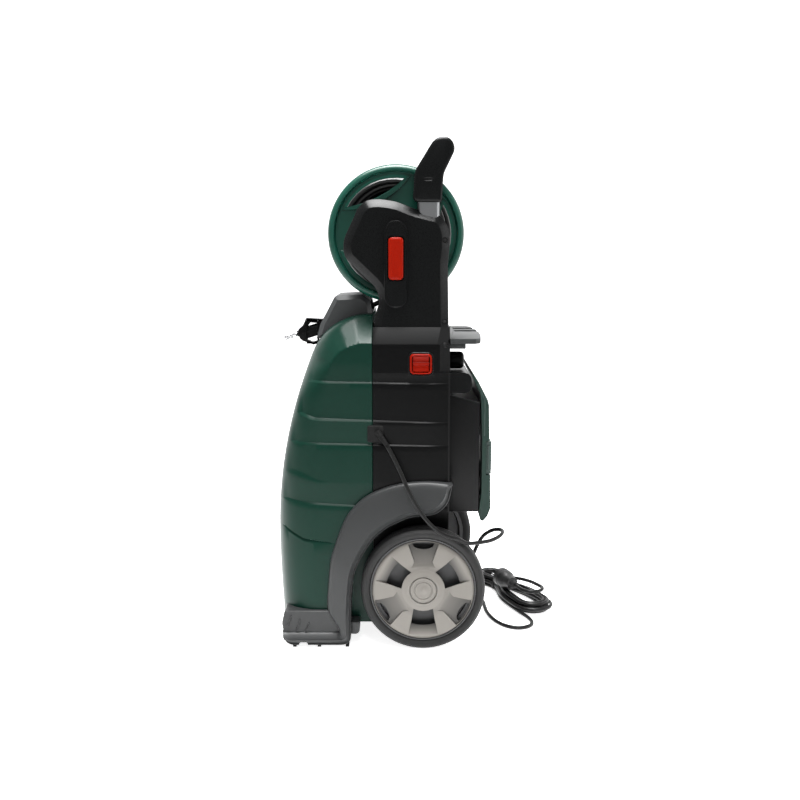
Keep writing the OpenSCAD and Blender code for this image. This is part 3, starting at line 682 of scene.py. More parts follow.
# half width, front and rear Y, corner radius, lowest and highest Z of the shells' open inside
ROOM = {"half": 92, "y": (-112, 104), "corner": 30, "z": (60, 470)}
# the handle tube's channel: half widths in X and Y
CHANNEL = (11.4, 19.4)


def prism(name, ring, lo, hi, axis="X"):
    """Straight cutter with one outline from lo to hi."""
    return stack(name, ring, [(lo, 0), (hi, 0)], axis)


def well_cutters():
    y, z = WHEEL_Y - WELL_R, WHEEL_Z + WELL_R
    ring = [(y, -5), (y, WHEEL_Z)] + arc(WHEEL_Y, WHEEL_Z, WELL_R, 178, 90, 22) + [(145, z), (145, -5)]
    return [prism("cut_left", ring, WELL_X, 215), prism("cut_right", ring, -215, -WELL_X)]


def room_cutter():
    """The open inside of both shells, where the motor and the pump stand."""
    half, (y0, y1) = ROOM["half"], ROOM["y"]
    return prism("cut_room", rounded((-half, y0), (half, y1), ROOM["corner"], 6), *ROOM["z"], "Z")


def gland_cutter():
    return prism("cut_gland", rounded((-25.8, 362.6), (0, 390), 2.5, 3), 157, 170)


def tube_cutter(lo, hi, side=1):
    """Channel of a handle tube from Z lo to hi."""
    wide, deep = CHANNEL
    ring = rounded((TUBE_X - wide, TUBE_Y - deep), (TUBE_X + wide, TUBE_Y + deep), 11.3)
    return prism("cut_tube", [(side * x, y) for x, y in ring], lo, hi, "Z")


def make_front_shell():
    shell = closed_half("front_body", front_half())
    carve(shell, *well_cutters(), room_cutter(), gland_cutter())
    return put(sharpen(shell, 24), "root", "green_plastic", "front_shell")


def rear_rows():
    """Rows of the left half of the rear shell; its corner is cut wide above the cap and narrow below it."""
    ys = np.array([PART_Y + 0.3, PART_Y + 1.2, -5, 15, 35, 55, 75, 91, 96])
    fade = np.interp(ys, [91, 96], [1, 0])
    rows = []

    def add(x, z, corner, wide, lip=0.9):
        y2 = ys.copy()
        y2[-1] = corner
        side = np.stack([x, y2, z], 1)
        side[0][0] -= lip
        zr = float(z[-1])
        rows.append(np.concatenate([side, [[wide, REAR_Y, zr], [75, REAR_Y, zr], [0, REAR_Y, zr]]]))

    for level, depth in shell_rows()[:-3]:
        add(SIDE_X - depth(ys) * fade, level(ys), 111, 163.5)
    side = np.full(9, SIDE_X)
    for z, corner, wide in ((480.3, 111, 163.5), (481.5, 96, 150), (520, 96, 150), (527.5, 96, 150)):
        add(side, np.full(9, float(z)), corner, wide)
    add(side - 0.6, np.full(9, 529.5), 92, 148)
    add(side * 0 + 147, np.full(9, 556.4), 98, 136, 0)
    return rows


def make_rear_shell():
    shell = closed_half("rear_body", rear_rows())
    stem = lathe("cut_stem", [(0, 97), (4.3, 97), (4.3, 118), (0, 118)], (KNOB_X, 0, KNOB_Z), (0, 1, 0), 32)
    switch = prism("cut_switch", [(44.0, 477.4), (84.2, 477.4), (84.2, 514.5), (44.0, 514.5)], 155, 170)
    carve(shell, *well_cutters(), room_cutter(), tube_cutter(300, 575), tube_cutter(300, 575, -1), stem,
          gland_cutter(), switch)
    return put(sharpen(shell, 24), "root", "black_plastic", "rear_shell")


make_front_shell()
make_rear_shell()

# ---------- cowl, hose guide and hose end ----------


def make_cowl():
    ring = [(-119, 531), (-112, 556), (-87, 603), (-84, 606), (-38, 608.5), (-24, 598), (-20, 577),
            (-20, 545), (-60, 531)]
    shape = stack("hose_cowl", ring, [(-78, 7.5), (-71, 0), (71, 0), (78, 7.5)])
    hollow = prism("cut_hollow", [(-104, 552), (-84, 599), (-38, 603), (-10, 590), (-10, 552)], -66, 66)
    bore = lathe("cut_bore", [(6.2, 0), (6.2, 70)], (0, -90, 553.6), (0, -0.9588, -0.284), 32)
    carve(shape, hollow, bore)
    return put(round_edges(shape, 0.8), "root", "grey_plastic", "top_cowl", material="cowl_grey")


GUIDE_FROM = Vector((0, -106, 549))
GUIDE_WAY = Vector((0, -0.95882, -0.28402))
GUIDE_HOLES = [[(-114, 553), (-136, 554.5), (-141, 548), (-116, 541)],
               [(-116, 533), (-146, 523.5), (-132, 518.5), (-119, 522)]]


def make_guide():
    """Tube held by two ribs, two cross plates and two webs."""
    parts = [lathe("guide_tube", [(6.2, 0), (9, 0), (9, 44), (8.4, 51), (7.2, 53), (6.2, 53)], GUIDE_FROM,
                   GUIDE_WAY, 48, closed=True)]
    outline = [(-108, 560.5), (-143.7, 562.2), (-149, 550), (-158, 541.5), (-156, 526), (-150.8, 521),
               (-130.4, 513.7), (-121, 516), (-112, 530)]
    for x in (-8.5, 5.5):
        rib = slab("rib", outline, x, x + 3, "X", 0.5)
        holes = [prism("cut_rib", ring, x - 1, x + 4) for ring in GUIDE_HOLES]
        parts.append(carve(rib, *holes))
    for y, half, lo, hi in ((-143.2, 12, 519, 562), (-122, 10, 514.5, 561)):
        ring = [(-half, lo + 4), (-half + 3, lo), (half - 3, lo), (half, lo + 4), (half, hi - 4),
                (half - 3, hi), (-half + 3, hi), (-half, hi - 4)]
        parts.append(slab("ring", ring, y - 1.2, y + 1.2, "Y", 0.4))
    for z0, z1 in ((557, 561), (515.5, 519)):
        parts.append(slab("web", [(-8.5, z0), (8.5, z0), (8.5, z1), (-8.5, z1)], -143, -110, "Y", 0.4))
    guide = joined("hose_outlet_guide", parts)
    return put(guide, "root", "black_plastic", "hose_guide")


def make_nipple():
    at = Vector((0, -73.9, 558.5))
    profile = [(0, 78), (3.3, 78), (3.3, 92), (3.9, 93), (3.9, 95), (3.3, 96), (3.3, 100.6), (4.8, 101),
               (5, 101.4), (5, 103.2), (4.8, 103.6), (3.5, 104), (3.5, 108.6), (4.2, 109), (4.6, 109.6),
               (4.6, 114.4), (4.0, 115.3), (2.2, 115.3), (2.2, 112), (0, 112)]
    nipple = lathe("hose_end_nipple", profile, at, GUIDE_WAY, 40)
    put(nipple, "root", "steel", "hose_nipple")
    sleeve = lathe("hose_end_sleeve", [(4.6, 46), (5.2, 46), (5.6, 47), (5.6, 89), (5.2, 90.4), (3.6, 90.4),
                                       (3.6, 80), (4.6, 80)], at, GUIDE_WAY, 40, closed=True)
    return put(sleeve, "root", "rubber", "hose_sleeve")


make_cowl()
make_guide()
make_nipple()

# ---------- fenders and feet ----------

FENDER_OUT = [(-176.5, 27), (-150, 26.6), (-120, 26.5), (-95, 26.5), (-82, 26.8), (-77, 28.5), (-76.5, 32),
              (-84, 44), (-92, 54), (-97.4, 66), (-97.6, 82), (-96, 104), (-91, 154), (-82.6, 184),
              (-66.3, 226), (-50.5, 249), (-28.3, 268.6), (3, 283), (34.4, 291), (75, 294.3), (118.3, 291.5)]
FENDER_IN = [(-170, 10.5), (-163, 6), (-154, 4.5), (-120, 4.5), (-90, 4.5), (-72, 4.7), (-63, 7), (-58, 12),
             (-56.4, 20), (-56.4, 40), (-56.4, 62), (-54.2, 104), (-48.2, 138), (-34.5, 168), (-15.4, 196),
             (7.5, 215.5), (26.6, 225), (45.5, 233), (68.3, 236), (87.3, 239), (100.5, 247), (111.8, 262.5),
             (118.2, 291.4)]
# across the band: (share of the width from the outer edge, mm from the inner edge or None, X)
BAND = [(0.0, None, 166.0), (0.0, None, 170.5), (0.02, None, 174.0), (0.06, None, 176.4),
        (0.14, None, 178.6), (0.28, None, 181.2), (0.48, None, 184.2), (0.68, None, 186.6),
        (None, 11.5, 187.8), (None, 10.6, 187.2), (None, 7.0, 182.4), (None, 3.4, 180.4), (None, 2.4, 181.2),
        (None, 1.0, 181.9), (None, 0.0, 181.0), (None, 0.0, 170.0), (None, 0.0, 139.0),
        (None, 3.0, 138.6)]


def resample(points, n):
    line = [Vector(p) for p in spline([(a, b, 0) for a, b in points], 8)]
    at = np.concatenate([[0], np.cumsum([(q - p).length for p, q in zip(line, line[1:])])])
    xs = [np.interp(t, at, [p.x for p in line]) for t in np.linspace(0, at[-1], n)]
    ys = [np.interp(t, at, [p.y for p in line]) for t in np.linspace(0, at[-1], n)]
    return [Vector((a, b)) for a, b in zip(xs, ys)]


def make_fender(side):
    n = 110
    outer, inner = resample(FENDER_OUT, n), resample(FENDER_IN, n)
    verts = []
    for k in range(n):
        across = inner[k] - outer[k]
        width = max(across.length, 0.01)
        for share, back, x in BAND:
            w = share if share is not None else 1 - min(back / width, 0.92)
            p = outer[k] + across * min(1, w)
            verts.append((x * side, p.x, p.y))
    wide = len(BAND)
    band = mesh_from("band", verts, grid_faces(n, wide) + [tuple(range(wide))], 28)
    core_ring = soft_corners([(-172.5, 64), (-177.5, 42), (-175, 26), (-169.5, 11), (-159, 5.2), (-64, 5.2),
                              (-57.2, 12), (-57.2, 64)], 4, 2)
    foot = stack("foot", core_ring, [(118 * side, 1), (119 * side, 0), (172.4 * side, 0), (174 * side, 1.6)])
    for piece in (foot, band):
        carve(piece, prism("cut_notch", arc(-139.5, 3, 8.2, 0, 355, 28), *sorted((110 * side, 195 * side))))
    fins = []
    for y, z in ((-161, 47), (-146, 39), (-131, 33)):
        ring = [(y - 6.5, z - 9), (y - 4.2, z - 10), (y + 1.6, z + 9), (y - 0.2, z + 9.4)]
        fins.append(stack("fin", [(a, max(b, 26)) for a, b in ring],
                          [(171 * side, 0), (176.6 * side, 0), (177.4 * side, 0.5)]))
    block = slab("block", soft_corners([(-59, 42), (-59, 24), (-56, 20), (-46, 20), (-41.5, 25),
                                        (-41.5, 42)], 3),
                 *sorted((140 * side, 170 * side)), "X", 0.8)
    name = SIDE_NAME[side] + "_fender"
    out = joined(name + "_band", [band, foot] + fins + [block])
    return put(sharpen(out, 28), "root", "grey_plastic", name)


make_fender(1)
make_fender(-1)

# ---------- wheels ----------


def hub_cutters():
    """Pockets, holes and windows of the wheel cover, cut round the wheel's middle."""
    out = []

    def at(u, v, a):
        return turned(u, v, a, WHEEL_Y, WHEEL_Z)

    def ray(r, t):
        return (r * math.cos(math.radians(t)), r * math.sin(math.radians(t)))

    def tapered(name, ring, a, layers):
        out.append(stack(name, [at(u, v, a) for u, v in ring], layers))

    def ramp(name, a, stations):
        """Recess with a sloping floor; a station is (distance out, half width, X of the floor)."""
        verts = []
        for u, half, x in stations:
            lo, hi = at(u, -half, a), at(u, half, a)
            verts += [(x, *lo), (x, *hi), (HUB_CLEAR, *hi), (HUB_CLEAR, *lo)]
        out.append(mesh_from(name, verts, tube_faces(4, len(stations))))

    for a in (90, 210, 330):
        ramp("pocket", a, [(40, 21, 187.9), (44, 18, 186.9), (50, 16, 186.3), (60, 19, 185.8),
                           (72, 23, 185.0), (81, 26.3, 184.5), (84.2, 18.5, 184.2), (85.8, 8, 184.2),
                           (86.2, 1.5, 184.2)])
        hole = [ray(84.3, t) for t in (-12.5, -7, 0, 7, 12.5)] + [
            (80.5 - 8.4 * math.cos(math.radians(t)), 18.5 * math.sin(math.radians(t)))
            for t in (80, 60, 40, 20, 0, -20, -40, -60, -80)]
        tapered("hole", hole, a, [(176, -2), (183.4, 0), (HUB_CLEAR, 0)])
    for a in (30, 150, 270):
        window = ([ray(63.5, t) for t in (-19.5, -10, 0, 10, 19.5)]
                  + [ray(37.5, t) for t in (26.5, 13, 0, -13, -26.5)])
        tapered("window", window, a, [(178, -4), (186.5, 0), (HUB_CLEAR, 0)])
        ramp("panel", a, [(59, 21.4, 183.9), (62, 22, 184.4), (70, 23.6, 186.2), (79, 25.6, 188.6),
                          (84, 18, 189.6), (86, 6, 190.2)])
    return out


def make_wheels():
    face = [(0, 190.9), (5, 190.9), (6, 190.4), (13.6, 190.4), (14.2, 189.5), (15.8, 189.5), (16.4, 190.4),
            (21.8, 190.2), (22.4, 188.2), (23.8, 188.2), (24.4, 190.8), (29, 190.5), (33, 189.5), (37.5, 188.0),
            (42, 187.8), (50, 188.4), (62, 189.4), (78, 189.6), (84, 188.8), (87.4, 186.6), (88.2, 184)]
    back = [(88.2, 176), (86, 176), (85.6, 183), (40, 183), (33, 183), (20, 180), (20, 149), (8.1, 149),
            (8.1, 182), (0, 182)]
    hub = lathe("hub_left_a", face + back, WHEEL_AT, steps=128)
    sharpen(carve(hub, *hub_cutters()), 24)
    rim = lathe("hub_left_b", [(88.6, 186.5), (91, 187), (91.4, 184), (91.4, 151), (84, 151), (82, 158),
                               (80, 171), (80, 176), (88.6, 178)], WHEEL_AT, steps=128, closed=True)
    plate = lathe("hub_left_c", [(8.1, 166), (82, 166), (82, 168), (8.1, 168)], WHEEL_AT, steps=64,
                  closed=True)
    tyre = [(91, 184), (92.5, 187.6), (95, 189.6), (98, 190.6), (101, 190.6), (104, 188.6), (106.2, 185),
            (107, 180.5), (107, 174.5), (106.3, 174), (106.3, 171.5), (107, 171), (107, 166.5), (106.3, 166),
            (106.3, 163.5), (107, 163), (107, 158), (106, 152.5), (103.5, 149.3), (100, 148), (95, 148.6),
            (91, 150)]
    ring = lathe("tyre_left", tyre, WHEEL_AT, steps=128, closed=True)
    cover = joined("wheel_cover_left", [hub])
    core = joined("wheel_rim_left", [rim, plate])
    pieces = [("wheel_cover", cover, ["hub"], None), ("wheel_rim", core, [], "dark_hub"),
              ("tyre", ring, ["tyre"], None)]
    for side, tag in SIDE_NAME.items():
        for name, piece, nodes, material in pieces:
            if side < 0:
                piece = mirrored(piece, name + "_right")
            put(piece, tag + "_wheel", "tyre_rubber" if name == "tyre" else "hub_plastic",
                *[tag + "_" + node for node in nodes], material=material)


make_wheels()

# ---------- arms ----------

ARM_LINE = [(-17.5, 541), (-14, 574), (-4.8, 602), (-11.5, 622), (-63.5, 672), (-67, 689), (-64.8, 705.3),
            (-41, 756.3), (-27.6, 768), (-7.6, 770.2), (22.3, 766), (55.7, 753), (95.8, 743.2),
            (105.9, 731.7), (112.6, 715.2), (112.9, 690), (109.7, 665.5), (112, 541)]
ARM_SCREWS = [(104.7, 702), (104.7, 565)]


def shaft_cutter(lo, hi):
    return lathe("cut_shaft", [(0, lo), (SHAFT_BORE, lo), (SHAFT_BORE, hi), (0, hi)], REEL_AT, steps=64)


def make_arms():
    ring = soft_corners(ARM_LINE, 9, 3)
    outer = stack("arm_left_outer", ring, [(129.1, 0), (134.6, 0), (135.6, 0.5), (146, 13.5)])
    inner = stack("arm_left_inner", ring, [(112, 3), (113, 1), (115, 0), (129, 0)])
    bores = [lathe("cut_screw", [(4.6, 134), (4.6, 148)], (0, *at), steps=24) for at in ARM_SCREWS]
    carve(outer, *bores, tube_cutter(520, 790))
    carve(inner, tube_cutter(520, 790), shaft_cutter(100, 150))
    outer_right = mirrored(outer, "arm_right_outer")
    carve(outer, shaft_cutter(100, 150))
    carve(outer_right, shaft_cutter(-133.8, -100))
    bridge = slab("bridge", [(-17.5, 555), (111, 555), (111, 561), (-17.5, 561)], -112.5, 112.5)
    frame_part = joined("arm_inner_frame", [inner, mirrored(inner, "arm_right_inner"), bridge])
    for piece, node in ((outer, "left_arm_cover"), (outer_right, "right_arm_cover"),
                        (frame_part, "arm_frame")):
        put(piece, "root", "black_plastic", node, material="arm_plastic")


def make_arm_screws():
    for side, tag in SIDE_NAME.items():
        for i, at in enumerate(ARM_SCREWS):
            head = lathe(f"arm_screw_{tag[0]}{i}",
                         [(0, 135.4), (1.4, 135.4), (1.6, 136.6), (3.4, 136.6), (4.0, 136), (4.0, 134.4)],
                         (0, *at), steps=24)
            head = head if side > 0 else moved_over(head)
            first = side > 0 and i == 0
            put(head, "root", "zinc_screw", *(["body_screws"] if first else []), material="dark_screw")


def make_corner_screws():
    """Dark sunk screw in the sloped rear corner on each side, level with the collar."""
    for side, tag in SIDE_NAME.items():
        head = lathe("corner_screw_" + tag[0],
                     [(0, -2), (4.6, -2), (4.6, 0.5), (4.2, 0.9), (3.7, 0.5), (3.5, 0.1), (0, 0.1)],
                     (158.0 * side, 105.0, 526.7), (0.747 * side, 0.664, 0), 24)
        put(head, "root", "zinc_screw", material="rubber")


make_arms()
make_arm_screws()
make_corner_screws()

# ---------- handle ----------

GRIP_LINE = [(98.5, 870.6), (106, 870.0), (112, 867), (116.5, 862), (119.2, 855), (119.2, 848),
             (116.5, 841.5), (101.5, 810.8), (98.5, 767.2), (95.2, 764), (55.5, 764.4), (50.5, 770.4), (53.7, 815.6),
             (82.5, 862.0), (90, 868.4)]


def make_handle():
    ring = soft_corners(GRIP_LINE, 6, 3)
    leg = stack("leg", ring, [(112.6, 5), (114, 2), (116.5, 0), (141, 0), (144, 2.2), (145.4, 5.5)])
    dimple = lathe("cut_dimple", [(0, -5), (6, -4.2), (10.2, -2), (11.2, 0), (10.2, 2), (6, 4.2), (0, 5)],
                   (0, 0, 0), (0, 0, 1), 32)
    for v in dimple.data.vertices:
        v.co.x = 0.1469 + v.co.x * 0.26
        v.co.y, v.co.z = 0.0762 + v.co.y, 0.8015 + v.co.z * 0.75
    carve(leg, dimple)
    bar = lathe("bar", [(0, -114), (15.4, -114), (16.2, -112), (16.2, 112), (15.4, 114), (0, 114)],
                (0, 100.8, 852), steps=48)
    out = joined("push_handle", [leg, mirrored(leg, "leg_right"), bar])
    put(out, "handle", "black_plastic", "handle_grip", material="arm_plastic")


make_handle()

# ---------- hose reel ----------


def make_flange(name, side, turns):
    """Disc with three lens shaped windows, a rib along each window and a rounded rim."""
    profile = [(10.1, 94), (10.1, 108.6), (29, 108.6), (30, 107.6), (30, 99), (32, 98), (103.4, 98),
               (104.6, 98.8), (105.2, 100.5), (105.6, 107.4), (106.6, 108.6), (109, 108.9), (112, 107.8),
               (115, 104.8), (116.6, 101), (117, 97.5), (116.6, 94.8), (115.6, 94)]
    disc = lathe(name, profile, REEL_AT, steps=128, closed=True)
    cutters, ribs = [], []
    for a in turns:
        def placed(line):
            return [turned(u, v, a, REEL_Y, REEL_Z) for u, v in line]

        lens = arc(0, 0, 99.4, -39.4, 39.4, 24) + arc(264.5, 0, 195, 161, 199, 16)
        lens = soft_corners([p for i, p in enumerate(lens) if i not in (25, 41)], 3, 2)
        cutters.append(stack("cut_lens", placed(lens), [(90, -2), (98.3, 0.4), (99.5, 0.4)]))
        lip = arc(264.5, 0, 195.3, 161.6, 198.4, 18) + arc(196, 0, 136, 208, 152, 18)
        ribs.append(stack("rib", placed(lip), [(96, 0), (101.2, 0), (101.9, 0.7)]))
    sharpen(carve(disc, *cutters), 28)
    out = joined(name, [disc] + ribs)
    return out if side > 0 else moved_over(out)


def make_reel():
    for name, side, first in (("reel_flange_a", 1, -3.7), ("reel_flange_b", -1, 56.3)):
        put(make_flange(name, side, [first, first + 120, first + 240]), "reel", "green_plastic",
            SIDE_NAME[side] + "_reel_flange", material="reel_green")


def make_winding():
    """Captive high pressure hose in two layers on the drum."""
    line = []
    turns, r, half = 20, 83.0, 88.6
    for k in range(turns * 40 + 1):
        t = k / 40
        a = 2 * math.pi * t
        line.append((-half + 2 * half * t / turns, REEL_Y + r * math.cos(a), REEL_Z + r * math.sin(a)))
    back = 4
    for k in range(1, back * 40 + 1):
        t = k / 40
        a = 2 * math.pi * t
        rr = r + 8.6 * smooth_step(t * 3)
        line.append((half - 9.3 * t, REEL_Y + rr * math.cos(a), REEL_Z + rr * math.sin(a)))
    return put(curve("wound_hose", line, 4.5, 4), "reel", "hose_pvc", "hose_winding")


make_reel()
make_winding()

# ---------- crank ----------

CRANK_X = 147.5


def make_crank():
    ring = arc(REEL_Y, REEL_Z + 1.5, 19.5, 0, 180, 24) + arc(REEL_Y, REEL_Z - 104.5, 19.5, 180, 360, 24)
    arm = stack("crank_body", ring, [(CRANK_X, 0), (156.0, 0), (156.8, 0.5), (157.1, 1.6), (156.3, 2.2)])
    pocket = stack("cut_pocket", [(REEL_Y + a, REEL_Z + b) for a, b in rounded((-14.4, -79), (14.4, -5), 5)],
                   [(150.4, 0.5), (159, -0.2)])
    put(sharpen(carve(arm, pocket), 28), "reel", "black_plastic", "crank_arm", material="arm_plastic")
    grip_ring = [(REEL_Y + a, REEL_Z + b) for a, b in rounded((-12.5, -77), (12.5, -6.6), 6.5, 6)]
    grip = stack("folding_grip", grip_ring, [(151.2, 0.8), (152, 0), (157, 0), (158.6, 0.5), (159.9, 2.0),
                                             (160.5, 4.2), (160.6, 5.6)])
    put(grip, "grip", "red_plastic", "crank_grip")


make_crank()

# ---------- switch ----------


def make_switch():
    """Dark lip, red frame and the dished rocker with its two grip bars."""
    lip = stack("switch_lip", rounded((42.6, 476), (85.6, 515.9), 9.5, 6),
                [(163, 0), (166.9, 0), (167.6, 0.8), (167.2, 1.9)])
    carve(lip, prism("cut_lip", rounded((44.9, 478.3), (83.3, 513.6), 7.4, 6), 160, 172))
    put(lip, "root", "black_plastic", material="arm_plastic")
    frame_ring = rounded((45.4, 478.8), (82.8, 513.1), 7, 6)
    surround = stack("switch_surround", frame_ring,
                     [(162, 0), (167.2, 0), (169.0, 0.7), (170.0, 1.9), (170.2, 3.0)])
    hole = stack("cut_hole", rounded((48.9, 481.4), (79.3, 510.4), 4.4, 5),
                 [(160, 0), (168.2, 0), (171, -0.8)])
    carve(surround, hole)
    put(surround, "root", "red_plastic", "switch_bezel")
    side = [(0, -13.6), (4.4, -13.6), (5.2, -12.8), (4.2, -9.0), (3.4, -5.6), (4.2, -5.0), (4.2, -3.8),
            (3.2, -3.2), (3.0, 0.6), (3.8, 1.2), (3.8, 2.4), (2.9, 3.0), (3.2, 6.4), (4.6, 9.6), (6.1, 12.6),
            (5.0, 13.6), (0, 13.6)]
    ring = [turned(x, z, ROCKER_TILT, 162, 496) for x, z in side]
    rocker = slab("switch_rocker", ring, 50.3, 77.9, "Y", 0.5)
    pivot = lathe("pivot", [(0, 51.2), (4.8, 51.2), (4.8, 77.8), (0, 77.8)], (162, 0, 496), (0, 1, 0), 24)
    put(joined("power_switch_rocker", [rocker, pivot]), "switch", "red_plastic", "power_rocker")


make_switch()

# ---------- cable ends ----------


def make_gland():
    """Square housing in the shell and the short ribbed sleeve that the cable leaves through."""
    way = Vector((0.25, 0.57, -0.783)).normalized()
    at = Vector((167, -8, 378))
    profile = [(0, -4), (4.9, -4), (4.9, 8), (4.4, 8.2), (4.4, 9.6), (4.8, 9.8), (4.8, 12.6), (4.3, 12.8),
               (4.3, 14.2), (4.6, 14.4), (4.6, 17), (4.0, 17.6), (4.0, 26.6), (3.7, 28.0), (0, 28.0)]
    sleeve = lathe("gland_sleeve", profile, at, way, 32)
    housing = stack("gland_housing", rounded((-26.4, 362), (0.6, 390.6), 2.5, 3),
                    [(158, 0), (166.6, 0), (167.3, 0.8)])
    return put(joined("cable_gland_boot", [sleeve, housing]), "root", "rubber", "cable_gland")


def make_plug():
    """Moulded two pin plug with grip ribs; its pins stay the CAD ones."""
    way = hank_to_row(1, 0, 0) - hank_to_row(0, 0, 0)
    at = hank_to_row(0, PLUG_V, PLUG_Z)
    profile = [(0, -6), (17.4, -6), (18.3, -5), (18.3, 6), (17.2, 7), (17.2, 10), (18.0, 11), (17.6, 18),
               (14.6, 24), (13, 28), (12.2, 36), (11.4, 40)]
    for k in range(3):
        s = 41 + 3.6 * k
        r = 8.6 - 0.8 * k
        profile += [(r, s), (r, s + 2.0), (r - 1.2, s + 2.2), (r - 1.2, s + 3.4)]
    profile += [(5.4, 52), (3.6, 52.2), (0, 52.2)]
    body = lathe("mains_plug", profile, at, way, 48)
    return put(body, "root", "plug_pvc", "plug_body")


def make_tie():
    """Band drawn tight round the waist of the hank."""
    ring = [(-22.4, 10), (-21, 3.5), (-17, 1.3), (17, 1.3), (21, 3.5), (22.4, 10), (22.4, 15),
            (19, 22.5), (13, 24.4), (-13, 24.4), (-19, 22.5), (-22.4, 15)]
    ring = soft_corners(ring, 3, 2)
    inner = inset(ring, 1.3)
    verts, faces = [], []
    n = len(ring)
    for u in (-42.5, -33.5):
        for loop in (ring, inner):
            verts += [hank_to_row(u, v, z) for v, z in loop]
    for i in range(n):
        j = (i + 1) % n
        faces += [(i, j, 2 * n + j, 2 * n + i), (n + i, n + j, 3 * n + j, 3 * n + i),
                  (i, j, n + j, n + i), (2 * n + i, 2 * n + j, 3 * n + j, 3 * n + i)]
    band = mesh_from("hank_tie", verts, faces)
    return put(band, "root", "rubber", "cable_tie", material="rubber")


gland = make_gland()
plug = make_plug()
tie = make_tie()

# ---------- rack, knob and storage box ----------

RACK_SLOTS = ((-98, -66), (-38, -6))
BOX_Y = 167
HINGE_X = -134
HINGE_Y = 176


def make_rack():
    def rear(x):
        return -1045 + math.sqrt(1219 ** 2 - x * x)

    ring = [(-150, REAR_Y + 0.5)]
    for x in (-150, -126):
        ring.append((x, rear(x) if x > -150 else 158))
    for lo, hi in RACK_SLOTS:
        ring += [(lo, rear(lo)), (lo, 131), (hi, 131), (hi, rear(hi))]
    ring += [(x, rear(x)) for x in (20, 45, 70, 95, 120, 140)] + [(150, 158), (150, REAR_Y + 0.5)]
    plate = stack("rack_plate", ring,
                  [(528, 1.2), (529, 0.2), (531, 0), (535.6, 0), (536.6, 0.4), (537, 1.3)], "Z")
    under = slab("rack_under", [(-140, REAR_Y + 0.5), (140, REAR_Y + 0.5), (140, 141), (-140, 141)],
                 519, 528.4, "Z", 0.8)
    carve(under, *[prism("cut_slot", [(lo, 131), (hi, 131), (hi, 150), (lo, 150)], 515, 540, "Z")
                   for lo, hi in RACK_SLOTS])
    put(joined("accessory_shelf", [plate, under]), "root", "grey_plastic", "accessory_rack",
        material="rack_grey")


def make_knob():
    profile = [(0, 141), (9.5, 140.8), (12.6, 139.4), (14.4, 137), (15.0, 133), (15.0, 118), (14.4, 116),
               (4, 115.5), (4, 100), (0, 100)]
    knob = lathe("pressure_knob", profile, (KNOB_X, 0, KNOB_Z), (0, 1, 0), 72)
    flutes = [prism("cut_flute", arc(*turned(16.6, 0, turn, KNOB_X, KNOB_Z), 2.4, 0, 345, 12), 119, 150, "Y")
              for turn in range(0, 360, 30)]
    carve(knob, *flutes)
    put(knob, "regulator", "black_plastic", "regulator_knob")


def make_box():
    half = 130
    shell = slab("hose_box", [(REAR_Y + 0.5, 230), (BOX_Y, 230), (BOX_Y, 423.4), (116, 437),
                              (REAR_Y + 0.5, 437)], -half, half, "X", 0.9)
    carve(shell, prism("cut_box", [(117, 232.5), (180, 232.5), (180, 417), (117, 434)],
                       2.5 - half, half - 2.5))
    parts = [shell]
    for z in (250, 400):
        lug = lathe("lug", [(3.05, z), (6, z), (6, z + 14), (3.05, z + 14)], (HINGE_X, HINGE_Y, 0),
                    (0, 0, 1), 32, True)
        bar = slab("bar", [(HINGE_X - 4, 150), (-half + 1, 150), (-half + 1, HINGE_Y - 4), (HINGE_X - 4,
                           HINGE_Y - 4)], z, z + 14, "Z", 0.4)
        parts += [lug, bar]
    put(joined("storage_case", parts), "root", "black_plastic", "storage_box", material="box_grey")
    # the top plate takes the lighter rack grey in place of the box's dark grey: painted light on the box's top face
    top = slab("storage_case_top", [(117, 437.0), (117, 437.9), (BOX_Y - 0.6, 424.4), (BOX_Y - 0.6, 423.5)],
               -half + 1, half - 1)
    put(top, "root", "black_plastic", material="rack_grey")
    # the bead along the door's edge takes the lighter latch green: a painted highlight where the rear light catches
    # the edge
    bead = [(161.6, 458), (163.6, 459.2), (176.4, 430.5), (177.0, 420), (177.0, 366), (174.8, 366),
            (174.8, 420), (174.4, 430)]
    put(stack("door_bead", bead, [(125, 0), (130, 0), (130.8, 0.7)]), "door", "green_plastic",
        material="latch_green")


make_rack()
make_knob()
make_box()

# ---------- CAD pieces that are shown as they are ----------


def dress_nodes():
    """Gives every CAD node its finish, and fine round edges to those that show outside."""
    finish_of = {entry["node"]: entry["material_slot"] for entry in frame["record"]["subparts"]}
    edges = {"switch_bezel": 1.0, "power_rocker": 0.8, "regulator_knob": 1.0, "accessory_rack": 1.2,
             "rear_cap": 0.8, "storage_box": 0.8, "box_door": 1.4, "door_latch": 0.8, "axle_caps": 0.5,
             "inlet_fitting": 0.5, "foot_pads": 0.8, "left_handle_tube": 0.5, "right_handle_tube": 0.5,
             "base_tray": 0.8, "wheel_axle": 0.8, "plug_pins": 0.8}
    special = {"box_door": "door_green", "door_latch": "latch_green", "rear_cap": "arm_plastic",
               "storage_box": "box_grey", "accessory_rack": "rack_grey"}
    for name, node in frame["nodes"].items():
        base = name.split("[")[0]
        slot_name = finish_of.get(base, "black_plastic")
        node.data.materials.clear()
        node.data.materials.append(M[special.get(base, slot_name)])
        if base in edges and not node.hide_render:
            round_edges(node, edges[base], 2, 30)


dress_nodes()

# ---------- stage and light ----------


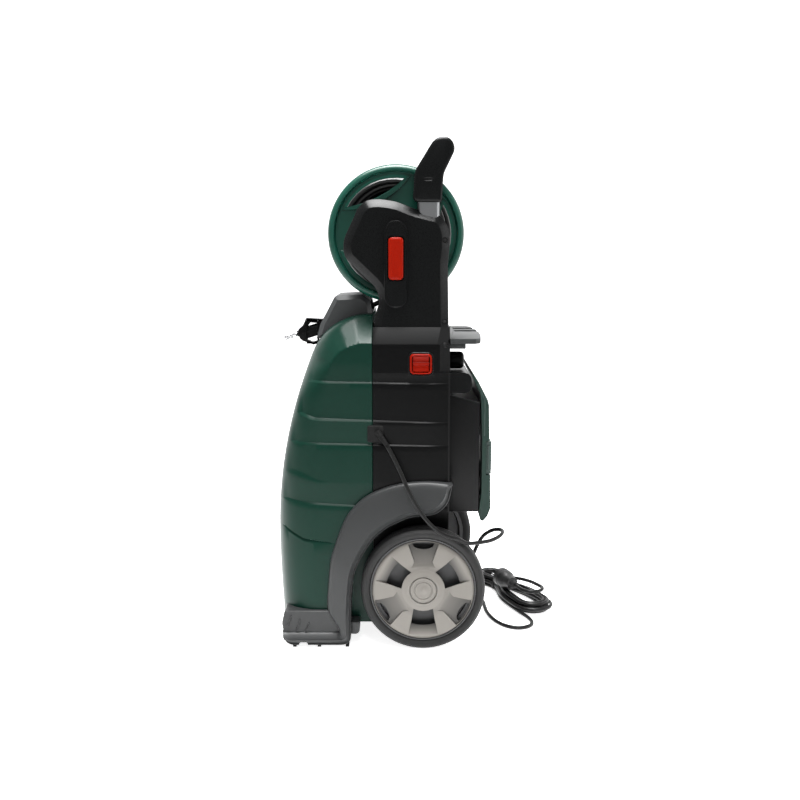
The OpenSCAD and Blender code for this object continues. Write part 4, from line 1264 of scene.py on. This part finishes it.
def make_stage():
    """White paper that runs on behind; its own glow fades in front, where it would light the sides."""
    data = bpy.data.meshes.new("floor")
    w, back, front, high = 8.0, -5.0, 9.0, 4.0
    rows = [(front, 0.0)] + [(-2.4 - 1.6 * math.sin(math.radians(a)), 1.6 - 1.6 * math.cos(math.radians(a)))
                             for a in range(0, 91, 6)] + [(back + 1.0, high)]
    verts = [(x, s * w, z) for x, z in rows for s in (-1, 1)]
    faces = [(2 * i, 2 * i + 1, 2 * i + 3, 2 * i + 2) for i in range(len(rows) - 1)]
    data.from_pydata(verts, [], faces)
    obj = linked("floor", data)
    mat, tree, shader = new_material("floor_paper", {
        "Base Color": (0.86, 0.86, 0.86, 1), "Roughness": 0.9, "Specular IOR Level": 0.1,
        "Emission Color": (1, 1, 1, 1)})
    place = new_node(tree, "TexCoord")
    split = new_node(tree, "SeparateXYZ")
    fall = new_node(tree, "MapRange", {"From Min": 0.6, "From Max": 2.6, "To Min": 0.85, "To Max": 0.20},
                    interpolation_type="SMOOTHSTEP")
    tree.links.new(place.outputs["Object"], split.inputs["Vector"])
    tree.links.new(split.outputs["X"], fall.inputs["Value"])
    tree.links.new(fall.outputs["Result"], shader.inputs["Emission Strength"])
    data.materials.append(mat)
    for face in data.polygons:
        face.use_smooth = True


def area_light(name, at, to, size, tall, power, spread=180):
    data = bpy.data.lights.new(name, "AREA")
    data.shape = "RECTANGLE"
    data.size = size
    data.size_y = tall
    data.energy = power
    data.spread = math.radians(spread)
    obj = linked(name, data)
    obj.location = at
    obj.rotation_euler = (Vector(to) - Vector(at)).to_track_quat("-Z", "Y").to_euler()


def make_light():
    world = bpy.data.worlds.new("studio")
    bpy.context.scene.world = world
    world.use_nodes = True
    sky = world.node_tree.nodes["Background"]
    sky.inputs["Color"].default_value = (1, 1, 1, 1)
    sky.inputs["Strength"].default_value = 0.55
    area_light("top", (0.05, -0.1, 2.4), (0.05, -0.1, 0), 1.0, 1.5, 37, spread=80)
    area_light("front_strip", (1.0, 0.0, 2.4), (0.1, 0, 0.4), 0.7, 2.0, 5.0, spread=60)
    area_light("front_left", (-0.3, -2.3, 1.4), (0, 0, 0.4), 2.2, 2.2, 1.5)
    area_light("rear_right", (0.1, 2.3, 1.2), (0, 0, 0.5), 1.2, 1.5, 14)
    bpy.context.scene.view_settings.view_transform = "Standard"


make_stage()
make_light()
